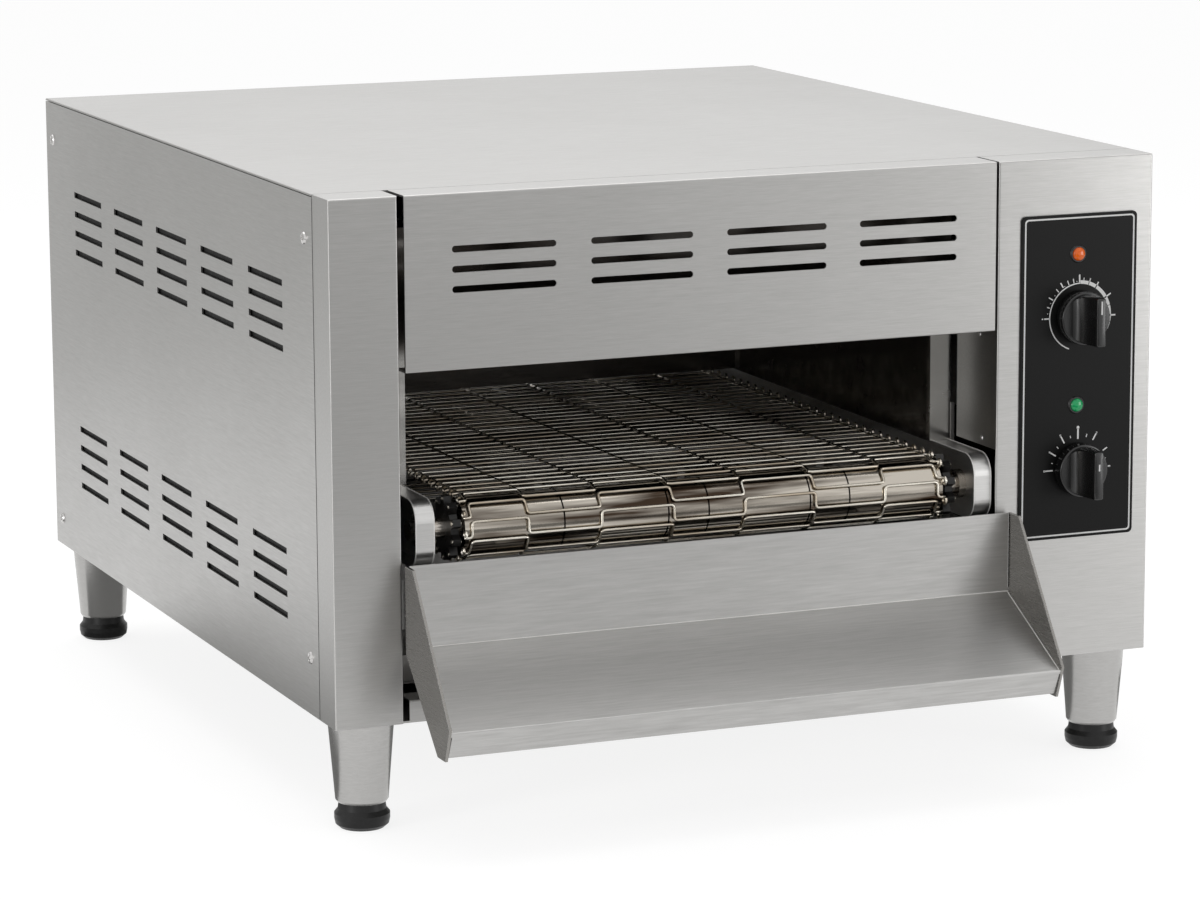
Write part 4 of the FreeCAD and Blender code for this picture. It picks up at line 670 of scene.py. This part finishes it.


# Toasting chamber: walls, roof and heat flap of steel sheet darkened by heat, and darker still by
# painted shade inside the tunnel and behind the hood, with sheathed elements in ceramic
# collars above and under the belt.
# The dark colours stand partly for heat browning and partly for painted shade in the tunnel.
chamber_steel = heat_tinted("chamber_steel", (0.17, 0.16, 0.15), (0.06, 0.05, 0.042), 0.16, 0.28,
                            mouth=(0.52, 0.51, 0.49))
give(chamber_steel, "chamber_wall_left", "chamber_wall_right", "chamber_roof", "heat_flap",
     "flap_hinge")
element_grey = speckled("element_sheath", (0.02, 0.019, 0.018), (0.07, 0.065, 0.06),
                        0.4, 0.6, 200, 0.3)
give(element_grey, "upper_heating_elements", "lower_heating_elements")
ceramic = speckled("ceramic", (0.80, 0.77, 0.70), (0.62, 0.58, 0.50), 0.5, 0.7, 300, 0.3)
give(ceramic, "element_collars")


# Collecting tray: one folded sheet with a flat end plate at each side, hooked over a bar
# behind the front. Painted highlights run along the plates' edges, the folds and the shelf's cut
# edges.
tray_steel = brushed_steel("tray_steel", (45, 750, 750),
                           (0.53, 0.525, 0.515), (0.39, 0.385, 0.375), 0.30, 0.39, 0.25,
                           pull=0.4, runs=(1, 0.03, 0))
# The end plates take the tray's steel in a darker colour: painted shade.
end_steel_shaded = brushed_steel("tray_end_steel", (1500, 70, 1500),
                          (0.32, 0.31, 0.295), (0.25, 0.24, 0.225), 0.24, 0.32, 0.2,
                          pull=0.5, runs=(0.03, 1, 0))
give(tray_steel, "tray_pan", "tray_hanger_bar")
give(end_steel_shaded, "tray_end_left", "tray_end_right")
soften(0.5 * MM, "tray_pan", "tray_end_left", "tray_end_right")

# The painted highlight lines, in millimetres: along the end plates, across the two folds, and down
# the shelf's sides.
plate_edge = [(-274.35, 161.65), (-286.8, 161.65), (-345.6, 78.95), (-338.25, 59.35)]
lines = [[(x, y, z) for y, z in plate_edge] for x in (-226.65, -225.85, 170.85, 171.65)]
lines += [[(-224.6, y, z), (169.6, y, z)] for y, z in ((-344.2, 76.75), (-275.4, 112.6))]
lines += [[(x, -343.9, 77.35), (x, -275.6, 112.1)] for x in (-224.4, 169.4)]
lines = [[(x * MM, y * MM, z * MM) for x, y, z in line] for line in lines]
highlight_strips = wire_curve("painted_highlight_tray_edges", lines, highlight_width, highlight_steel, 1)
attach(highlight_strips, "collecting_tray")


# Control plate: satin black steel with a white printed frame and printed dials round the two
# knobs. It is glued on the right post.
plate_black = speckled("plate_enamel", (0.003, 0.003, 0.003), (0.006, 0.006, 0.006),
                       0.32, 0.42, 900, 0.1, gleam=0.15)
print_white = speckled("printing_white", (0.95, 0.95, 0.94), (1.0, 1.0, 0.99),
                       0.5, 0.6, 900, 0.1)
PLATE_FACE = -271.5 * MM
dial_x, heat_z, speed_z = 219.5 * MM, 281 * MM, 185.3 * MM
lamp_x, power_lamp_z, heat_lamp_z = 217.8 * MM, 320.4 * MM, 225.8 * MM


def rounded_outline(x0, x1, z0, z1, radius):
    """An upright rectangle's outline, with its corners as arcs."""
    outline = []
    for x, z, start in ((x1 - radius, z1 - radius, 0), (x0 + radius, z1 - radius, 90),
                        (x0 + radius, z0 + radius, 180), (x1 - radius, z0 + radius, 270)):
        for number in range(7):
            turn = math.radians(start + number * 15)
            outline.append((x + radius * math.cos(turn), z + radius * math.sin(turn)))
    return outline


def circle_outline(x, z, radius, corners=40):
    angles = [number * math.tau / corners for number in range(corners)]
    return [(x + radius * math.cos(angle), z + radius * math.sin(angle)) for angle in angles]


low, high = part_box("control_panel_plate")
corner_radius, spindle_hole, lamp_hole, edge_round = 3 * MM, 3.6 * MM, 4.3 * MM, 0.2 * MM
sheet_curve = bpy.data.curves.new("black_plate", "CURVE")
sheet_curve.dimensions = "2D"
sheet_curve.fill_mode = "BOTH"
sheet_curve.extrude = (high[1] - low[1]) / 2 - edge_round
sheet_curve.bevel_depth = edge_round
sheet_curve.bevel_resolution = 1
sheet_curve.offset = -edge_round
for outline in (rounded_outline(low[0], high[0], low[2], high[2], corner_radius),
                circle_outline(dial_x, heat_z, spindle_hole),
                circle_outline(dial_x, speed_z, spindle_hole),
                circle_outline(lamp_x, power_lamp_z, lamp_hole),
                circle_outline(lamp_x, heat_lamp_z, lamp_hole)):
    spline = sheet_curve.splines.new("POLY")
    spline.points.add(len(outline) - 1)
    for point, (x, z) in zip(spline.points, outline):
        point.co = (x, z, 0, 1)
    spline.use_cyclic_u = True
flat_plate = linked_object("black_plate_outline", sheet_curve)
bpy.context.view_layer.update()
mesh = bpy.data.meshes.new_from_object(flat_plate)
bpy.data.objects.remove(flat_plate)
to_middle = Matrix.Translation((0, (low[1] + high[1]) / 2, 0))
mesh.transform(to_middle @ Matrix.Rotation(math.radians(90), 4, "X"))
mesh.materials.clear()
mesh.materials.append(plate_black)
plate = linked_object("black_plate", mesh)
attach(plate, "casing")
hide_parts("control_panel_plate")


print_height = 0.05 * MM


def printed(name, outlines, body="casing", face=PLATE_FACE):
    """A print: flat shapes a hair in front of a face, given by their corners."""
    mesh = bpy.data.meshes.new(name)
    shape = bmesh.new()
    for corners in outlines:
        shape.faces.new([shape.verts.new((x, face - print_height, z)) for x, z in corners])
    shape.to_mesh(mesh)
    shape.free()
    mesh.materials.append(print_white)
    piece = linked_object(name, mesh)
    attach(piece, body)
    return piece


def on_dial(centre, radius, angle):
    """Angles run clockwise from twelve o'clock, in degrees."""
    turn = math.radians(angle)
    return centre[0] + radius * math.sin(turn), centre[1] + radius * math.cos(turn)


INK_SPREAD = 1.25


def tick(centre, angle, inner, outer, width):
    """A straight mark between two radii. The ink runs out to a little more than its width."""
    turn = math.radians(angle)
    side = Vector((math.cos(turn), -math.sin(turn))) * width * INK_SPREAD / 2
    near, far = Vector(on_dial(centre, inner, angle)), Vector(on_dial(centre, outer, angle))
    return [tuple(corner) for corner in (near - side, near + side, far + side, far - side)]


def arc(centre, start, end, inner, outer):
    """A printed arc; inner and outer give its radii at the start and at the end."""
    count = max(2, int(abs(end - start) / 3))
    rows = []
    for number in range(count + 1):
        share = number / count
        angle = start + (end - start) * share
        rows.append((on_dial(centre, inner[0] + (inner[1] - inner[0]) * share, angle),
                     on_dial(centre, outer[0] + (outer[1] - outer[0]) * share, angle)))
    return [[one[0], two[0], two[1], one[1]] for one, two in zip(rows, rows[1:])]


def dot(centre, angle, radius, size):
    return circle_outline(*on_dial(centre, radius, angle), size, 12)


# The marks' angles are in degrees, and their inner ends, outer ends and widths in millimetres.
heat = (dial_x, heat_z)
marks = arc(heat, -160, 0, (20.6 * MM, 20.6 * MM), (21.35 * MM, 21.35 * MM))
for angle, inner, outer, width in (
        (-90, 21, 24.8, 0.7), (-72.5, 22.1, 24, 0.5), (-58.7, 22, 25.4, 0.6),
        (-42.5, 22, 24.6, 0.5), (-32, 22.1, 25.8, 0.7), (-21, 21.7, 24.7, 0.5),
        (-11.5, 21.6, 24.5, 0.5), (-1, 21.5, 26.4, 0.8), (6.4, 22.6, 24.4, 0.4),
        (17, 22.6, 24.7, 0.5), (31.5, 22.4, 24.6, 0.7), (58, 21.8, 25.4, 0.7),
        (90.7, 21.6, 25.0, 0.8)):
    marks.append(tick(heat, angle, inner * MM, outer * MM, width * MM))
for angle, radius, size in ((-90, 26, 0.5), (-82, 22.6, 0.3), (-65, 22.5, 0.3), (-51, 22.5, 0.3),
                            (-29, 22.3, 0.3), (-6, 22.4, 0.3)):
    marks.append(dot(heat, angle, radius * MM, size * MM))
# The broad band over the hot side comes in towards its end, and is broken at the marks.
band_end = 114
for start, end in ((0.6, 15.6), (17, 30.6), (32.4, 56.8), (59.2, 73), (74, 89.6), (91.8, 101),
                   (102, band_end)):
    inner = [(20.6 - 1.3 * angle / band_end) * MM for angle in (start, end)]
    outer = [(22.8 - 1.2 * angle / band_end) * MM for angle in (start, end)]
    marks += arc(heat, start, end, inner, outer)
printed("heat_dial_marks", marks)

speed = (dial_x, speed_z)
marks = []
for angle, inner, outer, width in (
        (0, 18.8, 25.4, 0.9), (16.5, 20.4, 22.4, 0.5), (31, 20.2, 25.5, 0.7), (60, 20.4, 23.9, 0.7),
        (-14.5, 20.3, 21.8, 0.4), (-29.5, 19.2, 25.1, 0.7), (-44.7, 19.2, 21, 0.4),
        (-59.3, 17.8, 22.9, 0.7), (-75.6, 17.9, 19, 0.4), (-90, 17.3, 23.2, 0.7),
        (75, 19.4, 20.6, 0.4), (90, 21.4, 23.2, 0.7)):
    marks.append(tick(speed, angle, inner * MM, outer * MM, width * MM))
for angle, radius, size in ((0, 26.1, 1.0), (31, 25.5, 0.6), (-29.5, 25.1, 0.6),
                            (-59.3, 22.9, 0.6), (-90, 23.2, 0.7)):
    marks.append(dot(speed, angle, radius * MM, size * MM))
printed("speed_dial_marks", marks)

outer, inner = [rounded_outline(low[0] + inset * MM, high[0] - inset * MM,
                                low[2] + inset * MM, high[2] - inset * MM, radius * MM)
                for inset, radius in ((1.8, 2.4), (2.8, 1.8))]
count = len(outer)
printed("plate_frame_line", [
    [outer[n], outer[(n + 1) % count], inner[(n + 1) % count], inner[n]] for n in range(count)])


# Knobs: black moulded, a low round skirt with a bar grip across it that narrows towards the
# fingers, and a white pointer line on the grip. Each is pushed on its spindle.
knob_black = speckled("knob_moulding", (0.002, 0.002, 0.002), (0.005, 0.005, 0.005),
                      0.20, 0.27, 900, 0.1, gleam=0.6)
KNOB_BACK = PLATE_FACE - 0.6 * MM
# The skirt's radius at each height over the knob's back, in millimetres.
skirt_profile = [(3.1, 0), (16.2, 0), (16.6, 0.4), (16.6, 7.6), (16.45, 8.05), (16.1, 8.35),
                 (15.5, 8.4), (0.01, 8.4)]
# The grip's half width and end radius at each such height, in millimetres.
grip_levels = [(8.0, 10.6, 14.9), (8.45, 9.4, 15.0), (9.4, 8.1, 15.2), (10.9, 6.9, 15.3),
               (12.9, 5.9, 15.3), (15.4, 5.0, 15.3), (18.4, 4.25, 15.3), (21.8, 3.65, 15.25),
               (25.2, 3.25, 15.15), (27.0, 3.1, 15.05), (27.4, 3.0, 15.0), (27.8, 2.75, 14.75),
               (27.95, 2.3, 14.3)]


def grip_outline(half_width, radius):
    """A bar's outline with ends on a circle, and its corners eased."""
    outline = []
    lean, ease = math.asin(half_width / radius), 0.35
    reach = (radius - ease) * math.cos(lean)
    for side, start in ((1, 0), (-1, math.pi)):
        for number in range(9):
            angle = start + lean * (1 - number / 4)
            spot = radius - ease if number in (0, 8) else radius
            outline.append((spot * math.sin(angle), spot * math.cos(angle)))
        for number in range(1, 6):
            outline.append((-side * half_width, side * reach * (1 - number / 3)))
    return outline


def knob(name, node, body, level, pointer):
    """A knob at that level. Pointer gives the heights between which its white line lies."""
    shape = bmesh.new()
    profile = [(radius * MM, depth * MM) for radius, depth in skirt_profile]
    lathe(shape, profile, (dial_x, KNOB_BACK, level), (0, -1, 0), 96)
    rows = []
    for depth, half_width, radius in grip_levels:
        rows.append([shape.verts.new((dial_x + x * MM, KNOB_BACK - depth * MM, level + z * MM))
                     for x, z in grip_outline(half_width, radius)])
    for one, two in zip(rows, rows[1:]):
        for number in range(len(one)):
            following = (number + 1) % len(one)
            shape.faces.new((one[number], one[following], two[following], two[number]))
    shape.faces.new(rows[-1])
    for face in shape.faces:
        face.smooth = True
    piece = finished(shape, name, knob_black)
    piece.data.set_sharp_from_angle(angle=math.radians(42))
    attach(piece, body)
    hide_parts(node)
    left, right = dial_x - 0.5 * MM, dial_x + 0.5 * MM
    low, high = [level + height * MM for height in pointer]
    printed(name + "_pointer", [[(left, low), (right, low), (right, high), (left, high)]],
            body, KNOB_BACK - grip_levels[-1][0] * MM)


knob("heat_knob_moulding", "heat_knob", "heat_control", heat_z, (5.2, 13.4))
knob("speed_knob_moulding", "speed_knob", "speed_control", speed_z, (3.2, 7.4))


# Lamps: domes of clear coloured plastic with a bulb behind them, painted deeper in colour at the
# rim as shade, each held in a black ring.
def dome_profile(radius, reach, lead):
    """Half of a domed lens: straight for the lead, then a quarter round."""
    rises = [number * math.pi / 20 for number in range(1, 10)]
    dome = [(radius * math.cos(rise), lead + (reach - lead) * math.sin(rise)) for rise in rises]
    return [(radius, 0), (radius, lead), *dome, (0.02 * MM, reach)]


lens_rim, lens_front = PLATE_FACE - 0.2 * MM, PLATE_FACE - 2.6 * MM


def lens_material(name, rim_shade_colour, bright):
    """Coloured plastic, painted deep at the rim as shade and bright in front, which the bulb makes
    glow a little.
    """
    material, tree, shader = plain_material(name)
    place = tree.nodes.new("ShaderNodeTexCoord").outputs["Object"]
    parts = tree.nodes.new("ShaderNodeSeparateXYZ")
    tree.links.new(place, parts.inputs[0])
    # Painted shade: the colour deepens from the dome's front towards its rim.
    rise = spread(tree, parts.outputs["Y"], lens_rim, lens_front)
    flecks = noise(tree, place, 700, 1)
    share = math_step(tree, "MULTIPLY", rise, spread(tree, flecks, 0.3, 0.6, 0.7, 1))
    colour = blend_colours(tree, share, rim_shade_colour, bright)
    tree.links.new(colour, shader.inputs["Base Color"])
    tree.links.new(colour, shader.inputs["Emission Color"])
    shader.inputs["Roughness"].default_value = 0.1
    shader.inputs["Emission Strength"].default_value = 0.25
    return material


ring_plastic = speckled("lamp_ring_moulding", (0.004, 0.004, 0.004), (0.012, 0.012, 0.012),
                        0.25, 0.35, 900, 0.1)
give(ring_plastic, "lamp_rings")
lens_profile = dome_profile(4.15 * MM, 11.1 * MM, 9.3 * MM)
lens_back = PLATE_FACE + 8.1 * MM
for name, node, level, slot, rim_shade_colour, bright in (
        ("orange_dome", "power_lamp_lens", power_lamp_z, "orange_lens",
         (0.22, 0.016, 0.0), (0.80, 0.13, 0.0)),
        ("green_dome", "heat_lamp_lens", heat_lamp_z, "green_lens",
         (0.0, 0.04, 0.012), (0.0, 0.36, 0.11))):
    shape = bmesh.new()
    lathe(shape, lens_profile, (lamp_x, lens_back, level), (0, -1, 0), 40)
    lens_piece = finished(shape, name, lens_material(name, rim_shade_colour, bright))
    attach(lens_piece, "casing")
    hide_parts(node)


# Behind the controls: regulator and speed controller, motor with its gears, terminal block and
# the cable gland in the rear panel.
casing_black = speckled("moulded_black", (0.015, 0.015, 0.015), (0.04, 0.04, 0.04),
                        0.45, 0.6, 400, 0.3)
give(casing_black, "heat_regulator_housing", "speed_controller_housing", "terminal_block",
     "cable_gland")
motor_grey = speckled("motor_paint", (0.03, 0.03, 0.03), (0.07, 0.068, 0.065),
                      0.4, 0.55, 300, 0.3)
give(motor_grey, "drive_motor", "gearbox")
gear_steel = brushed_steel("gear_steel", (200, 200, 200),
                           (0.5, 0.5, 0.49), (0.36, 0.36, 0.35), 0.3, 0.45, 0.3)
give(gear_steel, "drive_gear", "motor_pinion", "motor_bracket")
